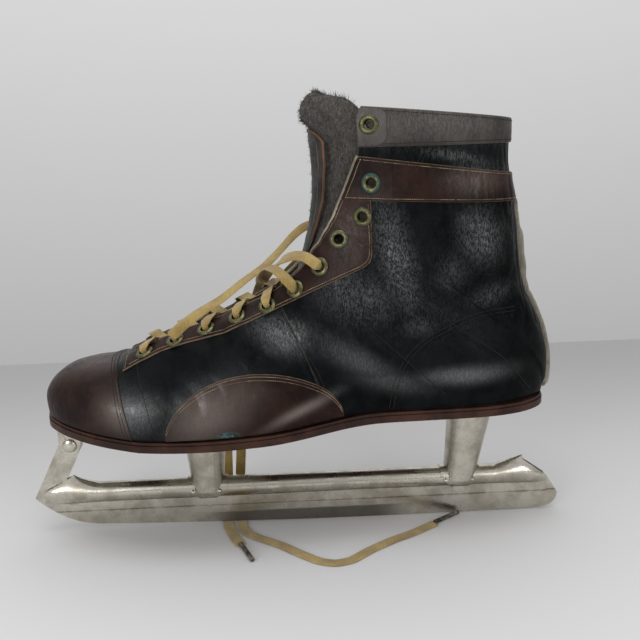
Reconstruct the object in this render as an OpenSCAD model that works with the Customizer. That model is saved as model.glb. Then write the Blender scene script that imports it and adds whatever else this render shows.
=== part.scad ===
// Antique leather ice skate: a laced boot riveted to a brazed steel tube runner.
// Millimetres, +Z up. The toe points to -X, the near (outer) side of the boot is -Y.
// The origin is under the middle of the blade, on the surface that the skate stands on.

/* [Runner] */
// Length of the blade
blade_len = 317; // [290:1:340]
// Thickness of the blade
blade_t = 3; // [2.4:0.1:3.6]
// Radius of the blade's long rocker
rocker_r = 4500; // [3500:100:6000]
// How far behind the middle the blade touches the ice
rocker_x = 55; // [30:1:70]
// Length of the blade's upswept nose
nose_len = 40; // [30:1:50]
// Height that the nose rises above the rocker
nose_rise = 16.5; // [12:0.5:20]
// Radius of the blade's rounded heel
blade_heel_r = 9; // [5:0.5:11]
// Depth of blade that shows under the tube
blade_show = 10.3; // [8:0.1:12]
// Outer diameter of the tube
tube_d = 12; // [10.5:0.1:13.5]
// Wall of the tube and of its skirts
tube_wall = 0.9; // [0.6:0.1:1.2]
// Height of the folded skirt between tube and blade
skirt_h = 8; // [6:0.5:10]
// Length of each pinched end of the tube
pinch_len = 33; // [20:1:38]
// Height of the pinched mouth at the tube's ends
pinch_h = 19; // [15:0.5:22]

/* [Stanchions] */
// Place of the front stanchion behind the middle
front_x = -55; // [-65:1:-45]
// Place of the rear stanchion's foot behind the middle
rear_x = 97.5; // [90:1:104]
// Backward lean of the rear stanchion in degrees
rear_lean = 8; // [4:0.5:11]
// Diameter of the stanchions at the tube
stanchion_d = 20; // [15:0.5:22]
// Diameter of the front stanchion's flared cup
front_cup_d = 27; // [22:1:44]
// Diameter of the rear stanchion's flared cup
rear_cup_d = 28; // [22:1:40]
// Wall of the stanchions
stanchion_wall = 1.4; // [1:0.1:2]
// Length of the saddle that wraps the tube
saddle_len = 24; // [22:1:30]
// Thickness of the saddle sheet
saddle_t = 0.9; // [0.6:0.1:1.3]

/* [Sole plates] */
// Thickness of the sole plates
plate_t = 1.6; // [1.2:0.1:2.2]
// Length of the front sole plate
front_plate_l = 62; // [52:1:70]
// Width of the front sole plate
front_plate_w = 58; // [50:1:66]
// Length of the heel plate
heel_plate_l = 54; // [46:1:58]
// Width of the heel plate
heel_plate_w = 44; // [38:1:48]
// Length of the toe plate
toe_plate_l = 32; // [26:1:36]
// Width of the toe plate
toe_plate_w = 30; // [24:1:36]
// Width of the toe brace bar
brace_w = 12.5; // [10:0.5:14]
// Head diameter of the sole rivets
rivet_head_d = 7; // [5:0.5:8]
// Shank diameter of the sole rivets
rivet_d = 3; // [2:0.2:3.6]
// Head diameter of the brace rivet
brace_rivet_head_d = 8.5; // [7:0.5:10]

/* [Sole] */
// Length of the sole
sole_len = 293; // [280:1:300]
// Width of the sole at the ball of the foot
sole_w = 94; // [86:1:100]
// Height of the sole's underside at the ball, above the ice
ball_z = 64.5; // [60:0.5:70]
// Rise of the heel above the ball
heel_rise = 7.5; // [5:0.5:10]
// Slope of the toe spring in degrees
toe_spring = 5.5; // [3:0.5:7]
// Thickness of the outsole
outsole_t = 3.8; // [3:0.1:5]
// Thickness of the welt above it
welt_t = 1.8; // [1.2:0.1:2.6]
// Thickness of the insole
insole_t = 2.4; // [1.6:0.1:3]

/* [Upper] */
// Height of the collar's front corner above the sole
boot_h = 172; // [160:1:180]
// Thickness of the upper leather
leather_t = 1.6; // [1.2:0.1:2]
// Thickness of the sewn-on leather overlays
overlay_t = 1.2; // [0.8:0.1:1.6]
// Thickness of the lining
lining_t = 1; // [0.7:0.1:1.2]
// Thickness of the box toe and of the heel counter
stiffener_t = 1.1; // [0.8:0.1:1.4]
// Half of the throat's opening at the toe end
throat_low = 8; // [6:0.5:10]
// Half of the throat's opening at the ankle
throat_top = 26; // [22:0.5:28]
// Length of the half-moon side patch
patch_len = 98; // [80:1:110]
// Height of the half-moon side patch
patch_h = 34; // [26:1:38]
// Height of the ankle band's lower edge above the sole
ankle_band_z = 125; // [122:0.5:128]
// Width of the ankle band at the throat
ankle_band_w = 23; // [18:0.5:24]
// Height of the top band's lower edge above the sole
top_band_z = 152; // [150:0.5:155]
// Half width of the back stay
back_stay_w = 7; // [5:0.5:10]

/* [Eyelets and laces] */
// Outer diameter of an eyelet
eyelet_d = 10.5; // [9:0.1:11.5]
// Bore of an eyelet
eyelet_bore = 5; // [4.6:0.1:5.6]
// Wall of an eyelet's barrel
eyelet_wall = 0.6; // [0.4:0.1:0.8]
// Thickness of an eyelet's flange
eyelet_flange_t = 0.8; // [0.5:0.1:1.2]
// Spacing of the eyelets
eyelet_pitch = 18.5; // [17.5:0.1:18.8]
// Distance of the eyelets from the throat's edge
eyelet_setback = 9.5; // [8.5:0.1:11]
// Width of the flat lace
lace_w = 6.4; // [5:0.1:6.6]
// Thickness of the flat lace
lace_t = 0.8; // [0.6:0.1:0.9]
// Length of a lace tip
aglet_len = 20; // [15:1:25]

/* [Tongue] */
// Thickness of the tongue's leather
tongue_t = 1.1; // [0.8:0.1:1.5]
// Thickness of the tongue's felt below the fold
felt_low_t = 3; // [2:0.5:4]
// Thickness of the tongue's felt above the fold
felt_top_t = 5; // [4:0.5:6]
// Half width of the tongue's leather flap
tongue_w = 20.5; // [18:0.5:22]
// Half width of the tongue's felt flap
felt_w = 24.5; // [22:0.5:25]
// Height of the tongue's leather above the sole
tongue_h = 162; // [150:1:168]
// Height of the tongue's felt above the sole
felt_h = 181; // [172:1:186]

/* [Hidden] */

nickel = [0.66, 0.65, 0.61];
brass = [0.55, 0.47, 0.3];
oxblood = [0.2, 0.11, 0.09];
black_leather = [0.1, 0.1, 0.11];
sole_brown = [0.3, 0.19, 0.13];
lace_gold = [0.72, 0.56, 0.25];
felt_grey = [0.42, 0.37, 0.32];
canvas = [0.5, 0.45, 0.37];

near = 1;
far = -1;
skin_gap = 0.15;
overlay_gap = 0.3;
toe_gap = 0.5;
heel_gap = 0.8;
lace_gap = 0.9;
fit_gap = 0.05;
seam_gap = 0.12;
fine = 48;

// Shared arithmetic
function mix(a, b, u) = a + (b - a) * u;
function clamp(v, lo, hi) = max(lo, min(hi, v));
function unit(v) = v / norm(v);
function ease(u) = (1 - cos(180 * clamp(u, 0, 1))) / 2;
function flat(rows) = [for (row = rows) each row];

// A smooth row through a list of rows, at a place counted in rows
function row_at(rows, t) =
  let (
    last = len(rows) - 1,
    k = clamp(floor(t), 0, last - 1),
    u = t - k,
    b = rows[k],
    c = rows[k + 1],
    a = k > 0 ? rows[k - 1] : 2 * b - c,
    d = k < last - 1 ? rows[k + 2] : 2 * c - b
  )
  0.5 * (2 * b + (c - a) * u + (2 * a - 5 * b + 4 * c - d) * u ^ 2 + (3 * b - a - 3 * c + d) * u ^ 3);

// The place between lo and hi where a falling or rising function reaches zero
function root(f, lo, hi, steps = 14) =
  steps == 0 ? (lo + hi) / 2 :
  let (mid = (lo + hi) / 2)
  (f(lo) < 0) == (f(mid) < 0) ? root(f, mid, hi, steps - 1) : root(f, lo, mid, steps - 1);

// Runner sizes
blade_half = blade_len / 2;
tube_r = tube_d / 2;
skirt_half = blade_t / 2 + fit_gap + tube_wall;
tube_z = blade_show + skirt_h + sqrt(tube_r ^ 2 - skirt_half ^ 2);
blade_top = tube_z - tube_r / 3;
nose_inset = 6;
heel_inset = 7;
tube_front = -blade_half + nose_inset;
tube_rear = blade_half - heel_inset;
nose_power = 2.3;
blade_step = 8;

function rocker_z(x) = (x - rocker_x) ^ 2 / (2 * rocker_r);
function nose_z(x) = nose_rise * (max(0, nose_len - blade_half - x) / nose_len) ^ nose_power;
function blade_z(x) = rocker_z(x) + nose_z(x);

// Sole sizes
sole_half = sole_len / 2;
sole_w_half = sole_w / 2;
sole_t = outsole_t + welt_t;
toe_break = -86;
arch_front = -20;
arch_rear = 50;
heel_z = ball_z + heel_rise;
toe_swing = 5;
swing_x = -60;

function sole_z(x) =
  ball_z + max(0, toe_break - x) * tan(toe_spring)
  + heel_rise * ease((x - arch_front) / (arch_rear - arch_front));
function feather_z(x) = sole_z(x) + sole_t + skin_gap;
function swing(x) = toe_swing * (max(0, swing_x - x) / (sole_half + swing_x)) ^ 2;

// Half outline of the sole: place along it, share of the half length, then of the half width
sole_rows = [
  [-1, 0], [-0.975, 0.26], [-0.93, 0.44], [-0.86, 0.62], [-0.765, 0.78], [-0.655, 0.89], [-0.53, 0.965],
  [-0.41, 1], [-0.285, 0.99], [-0.15, 0.925], [0, 0.84], [0.17, 0.765], [0.34, 0.72], [0.51, 0.7],
  [0.68, 0.68], [0.785, 0.635], [0.875, 0.54], [0.945, 0.39], [0.985, 0.21], [1, 0]
];
sole_last = len(sole_rows) - 1;
sole_steps = 54;
sole_side = [for (i = [0 : sole_steps]) row_at(sole_rows, i * sole_last / sole_steps)];
sole_widths = [for (p = sole_side) [p[0] * sole_half, max(0, p[1]) * sole_w_half]];
function sole_half_w(x) = lookup(x, sole_widths);

// Boot last. Each row is one line over the boot, from its crest at the front to its edge at the sole
// or at the back seam: crest x, crest height, crest fullness, edge x, edge half width, edge height,
// wall height, wall lean, wall turn towards the back seam, heading of the edge round the heel.
last_rows = [
  [-146, 12, 0.8, -145, 0.8, 0, 3, 0.5, 0, 0],
  [-144.2, 20, 7.5, -142.5, 9.5, 0, 8, 1.5, 0, 0],
  [-138.5, 27.5, 15, -137, 17.5, 0, 14, 2.5, 0, 0],
  [-129, 33.5, 23, -128, 25.8, 0, 18, 3.5, 0, 0],
  [-117, 36, 30, -116.5, 33, 0, 20, 4.5, 0, 0],
  [-104, 37, 32, -104, 38.2, 0, 21, 5, 0, 0],
  [-92, 41.5, 31, -91, 41.6, 0, 22, 5, 0, 0],
  [-76, 48.5, 29, -75, 44.3, 0, 24, 5, 0, 0],
  [-56, 56, 28, -55, 45.3, 0, 27, 4, 0, 0],
  [-34, 64.5, 27, -33, 43.5, 0, 30, 3, 0, 0],
  [-17, 73, 28, -8, 38.5, 0, 34, 3, 0, 0],
  [-4, 82.5, 31, 20, 34.6, 0, 39, 5, 0, 0],
  [4, 93.5, 34, 52, 32.2, 0, 44, 8, 0, 0],
  [7.5, 104, 36, 84, 31.5, 0, 48, 9.5, 0, 2],
  [8.8, 111.5, 39, 110, 28.8, 0, 52, 11, 6, 12],
  [9.4, 116.5, 40, 129, 21.8, 0, 54, 12, 18, 32],
  [9.7, 120.5, 40, 139, 14.2, 0, 58, 8, 34, 50],
  [9.9, 124, 39.5, 144.3, 7.2, 0, 59.4, 4.5, 43, 70],
  [10, 127, 38.5, 146.2, 0, 0, 64, 3, 50, 90],
  [10, 131, 37, 148.3, 0, 12, 55, 1, 66, 90],
  [10, 135, 35.5, 147.5, 0, 27, 54, 0, 80, 90],
  [10, 139.5, 34, 142, 0, 46, 55.5, 0, 90, 90],
  [10, 144.5, 32, 134, 0, 64, 58, 0, 90, 90],
  [10, 150, 31, 130, 0, 82, 60, 0, 90, 90],
  [10, 156, 30, 128, 0, 100, 61, 0, 90, 90],
  [10, 162, 30, 125.5, 0, 118, 61, 0, 90, 90],
  [10, 168.5, 30, 123, 0, 138, 61, 0, 90, 90],
  [10, 176, 30, 122.5, 0, 157, 61, 0, 90, 90]
];
last_len = 293;
last_w = 94;
last_h = 172;
collar_t = len(last_rows) - 1;
heel_t = 18;
foot_z = ball_z + sole_t;
len_scale = sole_len / last_len;
wide_scale = sole_w / last_w;
high_scale = boot_h / last_h;

// Four control points of one line over the near side of the last
function line_controls(t) =
  let (
    r = row_at(last_rows, t),
    crest = [r[0] * len_scale, 0, foot_z + r[1] * high_scale],
    edge_x = r[3] * len_scale,
    edge = [edge_x, -max(0, r[4]) * wide_scale, feather_z(edge_x) + r[5] * high_scale],
    lean = r[7] * wide_scale,
    wall = r[6] * cos(r[8]) * high_scale,
    side = r[6] * sin(r[8]) * wide_scale
  )
  [
    crest,
    crest + [0, -r[2] * wide_scale, 0],
    edge + [lean * sin(r[9]) - side * cos(r[9]), -lean * cos(r[9]) - side * sin(r[9]), wall],
    edge
  ];

function bezier(c, q) =
  c[0] * (1 - q) ^ 3 + c[1] * 3 * q * (1 - q) ^ 2 + c[2] * 3 * q ^ 2 * (1 - q) + c[3] * q ^ 3;

// A point of the last: q runs from 0 at the crest to 1 at the near edge and to -1 at the far edge
function last_point(t, q) =
  let (p = bezier(line_controls(t), abs(q)))
  [p[0], (q < 0 ? -p[1] : p[1]) + swing(p[0]), p[2]];

probe = 0.02;
function along_t(t, q) = last_point(t + probe, q) - last_point(t - probe, q);
function along_q(t, q) = last_point(t, q + probe) - last_point(t, q - probe);
function outward(t, q) = unit(cross(along_q(t, q), along_t(t, q)));
function skin_point(t, q, d) = last_point(t, q) + d * outward(t, q);

// A skin point of one half that stops short of the back seam
function half_point(t, q, d) =
  let (p = skin_point(t, q, d))
  q > 0 ? [p[0], min(p[1], -seam_gap / 2), p[2]] : [p[0], max(p[1], seam_gap / 2), p[2]];

// Depths of the layers, from the outer face of the upper leather
overlay_in = overlay_gap;
overlay_out = overlay_gap + overlay_t;
lining_out = -leather_t - skin_gap;
lining_in = lining_out - lining_t;
box_out = -leather_t - toe_gap;
counter_out = lining_in - heel_gap;
lace_under = lining_in - lace_gap - lace_t / 2;
tongue_out = lace_under - lace_t / 2 - lace_gap;
tongue_in = tongue_out - tongue_t;
tongue_felt_out = tongue_in - skin_gap;
tongue_felt_in = tongue_felt_out - felt_low_t;

// A closed sheet between two grids of points, with triangle faces
function cell(a, b, c, d) = [[a, b, c], [a, c, d]];
function sheet_faces(ni, nj, closed_toe) =
  let (
    wide = nj + 1,
    inner = (ni + 1) * wide,
    o = function (i, j) i * wide + j,
    n = function (i, j) inner + i * wide + j
  )
  [
    for (i = [0 : ni - 1], j = [0 : nj - 1]) each cell(o(i, j), o(i + 1, j), o(i + 1, j + 1), o(i, j + 1)),
    for (i = [0 : ni - 1], j = [0 : nj - 1]) each cell(n(i, j), n(i, j + 1), n(i + 1, j + 1), n(i + 1, j)),
    for (i = [0 : ni - 1]) each cell(o(i + 1, 0), o(i, 0), n(i, 0), n(i + 1, 0)),
    for (i = [0 : ni - 1]) each cell(o(i, nj), o(i + 1, nj), n(i + 1, nj), n(i, nj)),
    for (j = [0 : nj - 1]) each cell(o(ni, j + 1), o(ni, j), n(ni, j), n(ni, j + 1)),
    if (!closed_toe) for (j = [0 : nj - 1]) each cell(o(0, j), o(0, j + 1), n(0, j + 1), n(0, j)),
    if (closed_toe) each toe_faces(nj, o, n)
  ];

// Faces that join the two sides of a sheet round the toe, in place of its front edge
function toe_faces(nj, o, n) =
  let (half = nj / 2)
  [
    for (j = [0 : half - 2]) each cell(o(0, j), o(0, j + 1), o(0, nj - j - 1), o(0, nj - j)),
    [o(0, half - 1), o(0, half), o(0, half + 1)],
    for (j = [0 : half - 2]) each cell(n(0, j), n(0, nj - j), n(0, nj - j - 1), n(0, j + 1)),
    [n(0, half - 1), n(0, half + 1), n(0, half)],
    each cell(o(0, 0), o(0, nj), n(0, nj), n(0, 0))
  ];

module sheet(outer, inner, closed_toe = false) {
  ni = len(outer) - 1;
  nj = len(outer[0]) - 1;
  polyhedron(concat(flat(outer), flat(inner)), sheet_faces(ni, nj, closed_toe), convexity = 6);
}

// A layer of the upper over the region that a map of [i, j] to [t, q] covers
function layer_grid(map, d, ni, nj, half) =
  [for (i = [0 : ni]) [for (j = [0 : nj])
    let (p = map(i / ni, j / nj))
    half ? half_point(p[0], p[1], d) : skin_point(p[0], p[1], d)]];
module layer(map, d_out, d_in, ni, nj, half = false, closed_toe = false)
  sheet(layer_grid(map, d_out, ni, nj, half), layer_grid(map, d_in, ni, nj, half), closed_toe);

// The same region on the near or the far side
function on_side(side, map) =
  side == near ? map :
  function (i, j) let (p = map(i, 1 - j)) [p[0], -p[1]];

// Throat edge of the facings
throat_z0 = 66;
throat_z1 = 156;
throat_flare = 0.78;
edge_max = 0.6;
function throat_half(t) =
  let (z = row_at(last_rows, t)[1])
  mix(throat_low, throat_top, clamp((z - throat_z0) / (throat_z1 - throat_z0), 0, 1) ^ throat_flare);
function throat_q(t) =
  let (c = line_controls(t), w = throat_half(t))
  root(function (q) -bezier(c, q)[1] - w, 0, edge_max, 10);

// The place on a line of the last at a straight distance down from the throat edge
function down_q(t, reach) =
  let (c = line_controls(t), q0 = throat_q(t), p0 = bezier(c, q0))
  root(function (q) norm(bezier(c, q) - p0) - reach, q0, 1, 10);

// The line of the last on which a side line is crossed, where the place across each line is given
function line_t(across, line) =
  root(
    function (t)
      let (p = last_point(t, across(t)))
      p[2] - mix(line[0][1], line[1][1], (p[0] - line[0][0]) / (line[1][0] - line[0][0])),
    line_t0, collar_t, 12
  );
line_t0 = 12;

// Bands seen from the side
band_front_x = 35;
band_back_x = 124;
ankle_drop = 4;
ankle_taper = 8;
function side_line(front_z, back_z) = [[band_front_x, foot_z + front_z], [band_back_x, foot_z + back_z]];
ankle_low = side_line(ankle_band_z, ankle_band_z - ankle_drop);
ankle_high = side_line(ankle_band_z + ankle_band_w, ankle_band_z + ankle_band_w - ankle_taper - ankle_drop);
top_low = side_line(top_band_z, top_band_z);
top_high = side_line(2 * boot_h, 2 * boot_h);
function lower_line(line, by) = [for (p = line) p - [0, by]];

// Regions of the upper
cap_t = 5.2;
cap_slant = 0.9;
cap_gap = 0.015;
throat_t = 6.5;
seam_top_t = 10.4;
seam_low_t = 10.9;
edge_q = 0.995;
front_share = 0.375;
function cap_line(q) = cap_t + cap_slant * abs(q);
cap_map = function (i, j) let (q = edge_q * (2 * j - 1)) [cap_line(q) * i, q];

function vamp_outer(a) =
  a <= front_share ?
    let (q = edge_q * a / front_share) [cap_line(q) + cap_gap, q] :
    [mix(cap_line(edge_q) + cap_gap, seam_low_t, (a - front_share) / (1 - front_share)), edge_q];
function vamp_inner(a) =
  a <= front_share ?
    [throat_t, throat_q(throat_t) * a / front_share] :
    let (t = mix(throat_t, seam_top_t, (a - front_share) / (1 - front_share))) [t, throat_q(t)];
vamp_map = function (i, j)
  let (v = 2 * j - 1, p = mix(vamp_outer(abs(v)), vamp_inner(abs(v)), i))
  [p[0], v < 0 ? -p[1] : p[1]];

seam_shift = 0.01;
quarter_map = function (i, j)
  let (t = mix(mix(seam_top_t, seam_low_t, j) + seam_shift, collar_t, i))
  [t, mix(throat_q(t), edge_q + (1 - edge_q) * clamp(t - heel_t + 1, 0, 1), j)];

lining_edge = 0.98;
box_toe_t = 4.9;
box_map = function (i, j) [box_toe_t * i, lining_edge * (2 * j - 1)];

counter_t0 = 12.2;
counter_t1 = 21.4;
counter_depth = 0.4;
counter_map = function (i, j)
  let (
    t = mix(counter_t0, counter_t1, i),
    depth = 0.04 + counter_depth * sin(180 * i) ^ 0.8,
    low = mix(0.95, 1, clamp(t - heel_t + 1, 0, 1))
  )
  [t, mix(low - depth, low, j)];

// Lower edge of the facing seen from the side: place along the boot, height above the sole
facing_edge = [[-100, 33], [-86, 39], [-71, 47], [-40, 53], [-9, 66], [16, 78.5], [60, 98]];
facing_back_x = 44;
facing_t0 = 5.75;
function facing_q(t) =
  let (c = line_controls(t))
  root(
    function (q)
      let (p = bezier(c, q), low = foot_z + high_scale * lookup(p[0] / len_scale, facing_edge))
      min(p[2] - low, facing_back_x * len_scale - p[0]),
    throat_q(t), 1, 12
  );
facing_end = lower_line(ankle_low, skin_gap);
facing_map = function (i, j)
  let (
    across = function (t) mix(throat_q(t), facing_q(t), j),
    t = mix(facing_t0, line_t(across, facing_end), i)
  )
  [t, across(t)];

// A band between two side lines, from the throat to the back seam
function band_place(low, high, i, j) =
  let (
    across = function (t) mix(throat_q(t), 1, j),
    t = mix(line_t(across, low), line_t(across, high), i)
  )
  [t, across(t)];
ankle_map = function (i, j) band_place(ankle_low, ankle_high, i, j);
top_map = function (i, j) band_place(top_low, top_high, i, j);

patch_x = -22;
patch_end = 0.985;
patch_low_q = 0.985;
edge_lines = [for (k = [0 : heel_t]) [last_rows[k][3] * len_scale, k]];
patch_map = function (i, j)
  let (
    u = mix(-patch_end, patch_end, i),
    t = lookup(patch_x + u * patch_len / 2, edge_lines),
    c = line_controls(t),
    top_z = c[3][2] + patch_h * sqrt(1 - u ^ 2)
  )
  [t, mix(root(function (q) bezier(c, q)[2] - top_z, 0.3, 1, 10), patch_low_q, j)];

stay_line = lower_line(ankle_low, skin_gap);
stay_t1 = line_t(function (t) 1, stay_line);
stay_t0 = heel_t + 0.12;
function seam_share(t) = let (c = line_controls(t)) back_stay_w / (3 * norm(c[3] - c[2]));
stay_map = function (i, j)
  let (t = mix(stay_t0, stay_t1, i), v = mix(-1, 1, j) * seam_share(t))
  [t, v <= 0 ? 1 + v : v - 1];

// Eyelets: their lines of the last, spaced evenly along the row
row_t0 = 6;
row_step = 0.5;
row_ts = [for (t = [row_t0 : row_step : collar_t]) t];
row_qs = [for (t = row_ts) down_q(t, eyelet_setback)];
row_points = [for (i = [0 : len(row_ts) - 1]) last_point(row_ts[i], row_qs[i])];
function run_to(i) = i == 0 ? 0 : run_to(i - 1) + norm(row_points[i] - row_points[i - 1]);
row_runs = [for (i = [0 : len(row_ts) - 1]) [run_to(i), row_ts[i]]];
first_run = 9.5;
laced = 6;
facing_eyelets = 10;
top_eyelet_step = 30;
top_setback = eyelet_setback - 2.5;
eyelet_runs = [
  for (k = [0 : facing_eyelets - 1]) first_run + k * eyelet_pitch,
  first_run + (facing_eyelets - 1) * eyelet_pitch + top_eyelet_step
];
eyelet_ts = [for (run = eyelet_runs) lookup(run, row_runs)];
eyelets = len(eyelet_ts);
function setback(k) = k < facing_eyelets ? eyelet_setback : top_setback;
eyelet_qs = [for (k = [0 : eyelets - 1]) down_q(eyelet_ts[k], setback(k))];
eyelet_seat = 0.45;
barrel_r = eyelet_bore / 2 + eyelet_wall;

// Turn local Z to a direction and stand at a point
module stand_on(point, direction) {
  translate(point)
    rotate([0, acos(direction[2]), atan2(direction[1], direction[0])])
      children();
}
module at_eyelets(side) {
  for (k = [0 : eyelets - 1])
    stand_on(last_point(eyelet_ts[k], side * eyelet_qs[k]), outward(eyelet_ts[k], side * eyelet_qs[k]))
      children();
}
drill = 14;
module eyelet_holes(side) {
  at_eyelets(side)
    cylinder(r = barrel_r + fit_gap, h = 2 * drill, center = true, $fn = fine);
}

// Tongue above its fold: arcs across a leaning centre line
flap_r = 32;
base_t1 = 11.35;
fold = skin_point(base_t1, 0, tongue_out);
flap_rows = [[0, 0], [6, 1.5], [14, 3.6], [28, 7.4], [42, 9.7], [59, 10], [70, 9], [95, 7]];
flap_gap = 0.3;
function flap_x(h) = fold[0] + lookup(h, flap_rows);
function flap_point(h, y, r) = [flap_x(h) + flap_r - sqrt(r ^ 2 - y ^ 2), y, fold[2] + h];
// Share of the flap's half width by height: narrow in the throat, full above the facings
flap_shares = [[0, 0.39], [10, 0.47], [20, 0.62], [30, 0.71], [45, 0.85], [60, 0.94], [80, 1]];
function flap_half(h, full) = full * lookup(h, flap_shares);
function flap_grid(full, top, crown, r, ni, nj) =
  [for (i = [0 : ni]) [for (j = [0 : nj])
    let (
      v = 1 - 2 * j / nj,
      h = flap_gap + (top - flap_gap - crown * abs(v) ^ 3) * i / ni
    )
    flap_point(h, v * flap_half(h, full), r)]];

// A band or tube swept along rings of points
function ring_faces(rings, sides) =
  [
    for (i = [0 : rings - 2], j = [0 : sides - 1])
      each cell(i * sides + j, (i + 1) * sides + j,
        (i + 1) * sides + (j + 1) % sides, i * sides + (j + 1) % sides),
    for (j = [1 : sides - 2]) [0, j, j + 1],
    for (j = [1 : sides - 2]) [0, j + 1, j] + (rings - 1) * sides * [1, 1, 1]
  ];
module swept(rings)
  polyhedron(flat(rings), ring_faces(len(rings), len(rings[0])), convexity = 8);

// Lacing: one flat lace from the lowest bar up through the eyelets
// Each stop is a line of the last, a place across it, a depth, a width and a thickness
hole_w = 3.4;
hole_t = 2;
hole_d = -lining_t;
lace_over = overlay_out + eyelet_seat + eyelet_flange_t + 1.3;
cross_high = 2.4;
cross_low = 1.2;
function hole_stop(k, side) = [eyelet_ts[k], side * eyelet_qs[k], hole_d, hole_w, hole_t];
function crossing(k, side) =
  let (
    t0 = eyelet_ts[k],
    t1 = eyelet_ts[k + 1],
    e0 = throat_q(t0),
    e1 = throat_q(t1)
  )
  [
    [t0, side * eyelet_qs[k], lace_over - 0.4, hole_w, hole_t],
    [mix(t0, t1, 0.06), side * mix(eyelet_qs[k], e0, 0.35), lace_over + 0.5, lace_w, lace_t],
    [mix(t0, t1, 0.22), side * e0, lace_over - 0.5, lace_w, lace_t],
    [mix(t0, t1, 0.48), 0, side == near ? cross_high : cross_low, lace_w, lace_t],
    [mix(t0, t1, 0.68), -side * e1 * 0.75, lace_under / 3, lace_w, lace_t],
    [mix(t0, t1, 0.8), -side * e1 * 1.05, lace_under, lace_w, lace_t],
    [mix(t0, t1, 0.95), -side * mix(e1, eyelet_qs[k + 1], 0.75), lace_under, lace_w, lace_t],
    [t1, -side * eyelet_qs[k + 1], lace_under + 0.7, hole_w, hole_t],
    hole_stop(k + 1, -side)
  ];
// A strand climbs from an eyelet of a side to the last laced eyelet, and changes sides at each step
function climb(from, to, side) =
  [hole_stop(from, side), for (k = [from : to - 1]) each crossing(k, (k - from) % 2 == 0 ? side : -side)];
lowest_bar = [
  [eyelet_ts[0], -eyelet_qs[0], lace_under + 0.7, hole_w, hole_t],
  [eyelet_ts[0], -throat_q(eyelet_ts[0]), lace_under, lace_w, lace_t],
  [eyelet_ts[0], throat_q(eyelet_ts[0]), lace_under, lace_w, lace_t],
  [eyelet_ts[0], eyelet_qs[0], lace_under + 0.7, hole_w, hole_t]
];
function reversed(list) = [for (i = [len(list) - 1 : -1 : 0]) list[i]];
// The far strand is pulled out between its second and third eyelets, where the loose strand leaves it
lower_stops = concat(reversed(climb(0, 1, far)), lowest_bar, climb(0, laced - 1, near));
upper_stops = climb(2, laced - 1, far);

// Rings of a flat lace: its width lies along the throat
function bend_dir(points, i) = unit(points[min(i + 1, len(points) - 1)] - points[max(i - 1, 0)]);
function flat_ring(p, dir, across, w, t) =
  let (wide = unit(across - (across * dir) * dir) * w / 2, thick = unit(cross(dir, wide)) * t / 2)
  [p + wide + thick, p - wide + thick, p - wide - thick, p + wide - thick];
function lace_rings(stops) =
  let (points = [for (s = stops) skin_point(s[0], s[1], s[2])])
  [for (i = [0 : len(stops) - 1])
    flat_ring(points[i], bend_dir(points, i), along_t(stops[i][0], stops[i][1]), stops[i][3], stops[i][4])];

// Free lace ends: from the last laced eyelets, down the far side to the floor and out under the blade
long_route = [
  [14.5, -25.5, 160.7], [8, -21, 165.2], [1.5, -15.5, 165], [-4.5, -9.5, 162], [-9, -3, 157.8],
  [-12, 4, 154], [-14.5, 11.5, 150], [-17.5, 19.5, 144.8], [-20, 28, 138.5], [-22.5, 35, 130],
  [-25, 39.5, 119], [-28, 43.5, 106], [-31, 47.5, 91], [-34, 50.5, 76], [-36, 52, 60], [-37, 52, 42],
  [-38, 50.5, 24], [-39, 46, 9], [-39, 38, 1.8], [-38, 26, 0.5], [-36.5, 10, 0.45], [-36, 0, 0.45],
  [-35, -10, 0.45], [-31, -18, 0.5], [-23, -25, 0.5], [-12, -33, 0.5], [-1, -44, 0.5], [9, -53, 0.5],
  [18, -56.5, 0.5], [27, -54, 0.5], [38, -44, 0.5], [52, -34, 0.5], [66, -26, 0.5], [80, -16, 0.5]
];
short_route = [
  [14.5, 25.5, 160.7], [10, 29.5, 158.5], [3, 33.5, 152.5], [-4, 37, 145], [-12, 40.5, 135],
  [-20, 44.5, 123], [-28, 47.5, 110], [-37, 50, 94], [-43, 52, 76], [-45.5, 53, 58], [-46.5, 52.5, 40],
  [-47, 50, 22], [-47, 45, 8], [-47, 37, 1.6], [-46.5, 25, 0.5], [-45.5, 10, 0.45], [-44.5, 0, 0.45],
  [-43, -10, 0.45], [-39, -21, 0.5], [-35, -31, 0.5]
];
// A loose strand, from the second near eyelet up and across to the eighth far one
strand_route = [
  [-67.5, -19.5, 123], [-62, -15, 127.5], [-55, -9.5, 132], [-48, -5, 135.5], [-41.3, 0, 138.5],
  [-34.5, 5, 142.8], [-27.9, 10, 147.2], [-21.5, 15, 150.8], [-15.5, 20, 154], [-9, 25, 159.5],
  [-3.6, 26.5, 164.8], [2.4, 26.6, 171.1], [8.5, 26.8, 175.8], [16, 27, 177.8], [24.5, 27.4, 176.5]
];
cord_sides = 8;
cord_crown = 0.7;
function cord_ring(p, dir, up, w, t) =
  let (wide = unit(cross(up, dir)), thick = unit(cross(dir, wide)))
  [for (j = [0 : cord_sides - 1])
    let (a = 360 * j / cord_sides, c = cos(a), s = sin(a))
    p + wide * w / 2 * sign(c) * abs(c) ^ cord_crown + thick * t / 2 * sign(s) * abs(s) ^ cord_crown];
function cord_rings(route, up) =
  [for (i = [0 : len(route) - 1])
    cord_ring(route[i], bend_dir(route, i), up(route[i]), lace_w, lace_t)];
// The flat of a free end faces away from the boot, and up on the floor
floor_turn = 20;
side_turn = 12;
end_up = function (p)
  unit(mix([0, 0, 1], [0, clamp(p[1] / side_turn, -1, 1), 0.7], clamp(p[2] / floor_turn, 0, 1)));
strand_up = function (p) [0, -0.93, 0.36];

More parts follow.
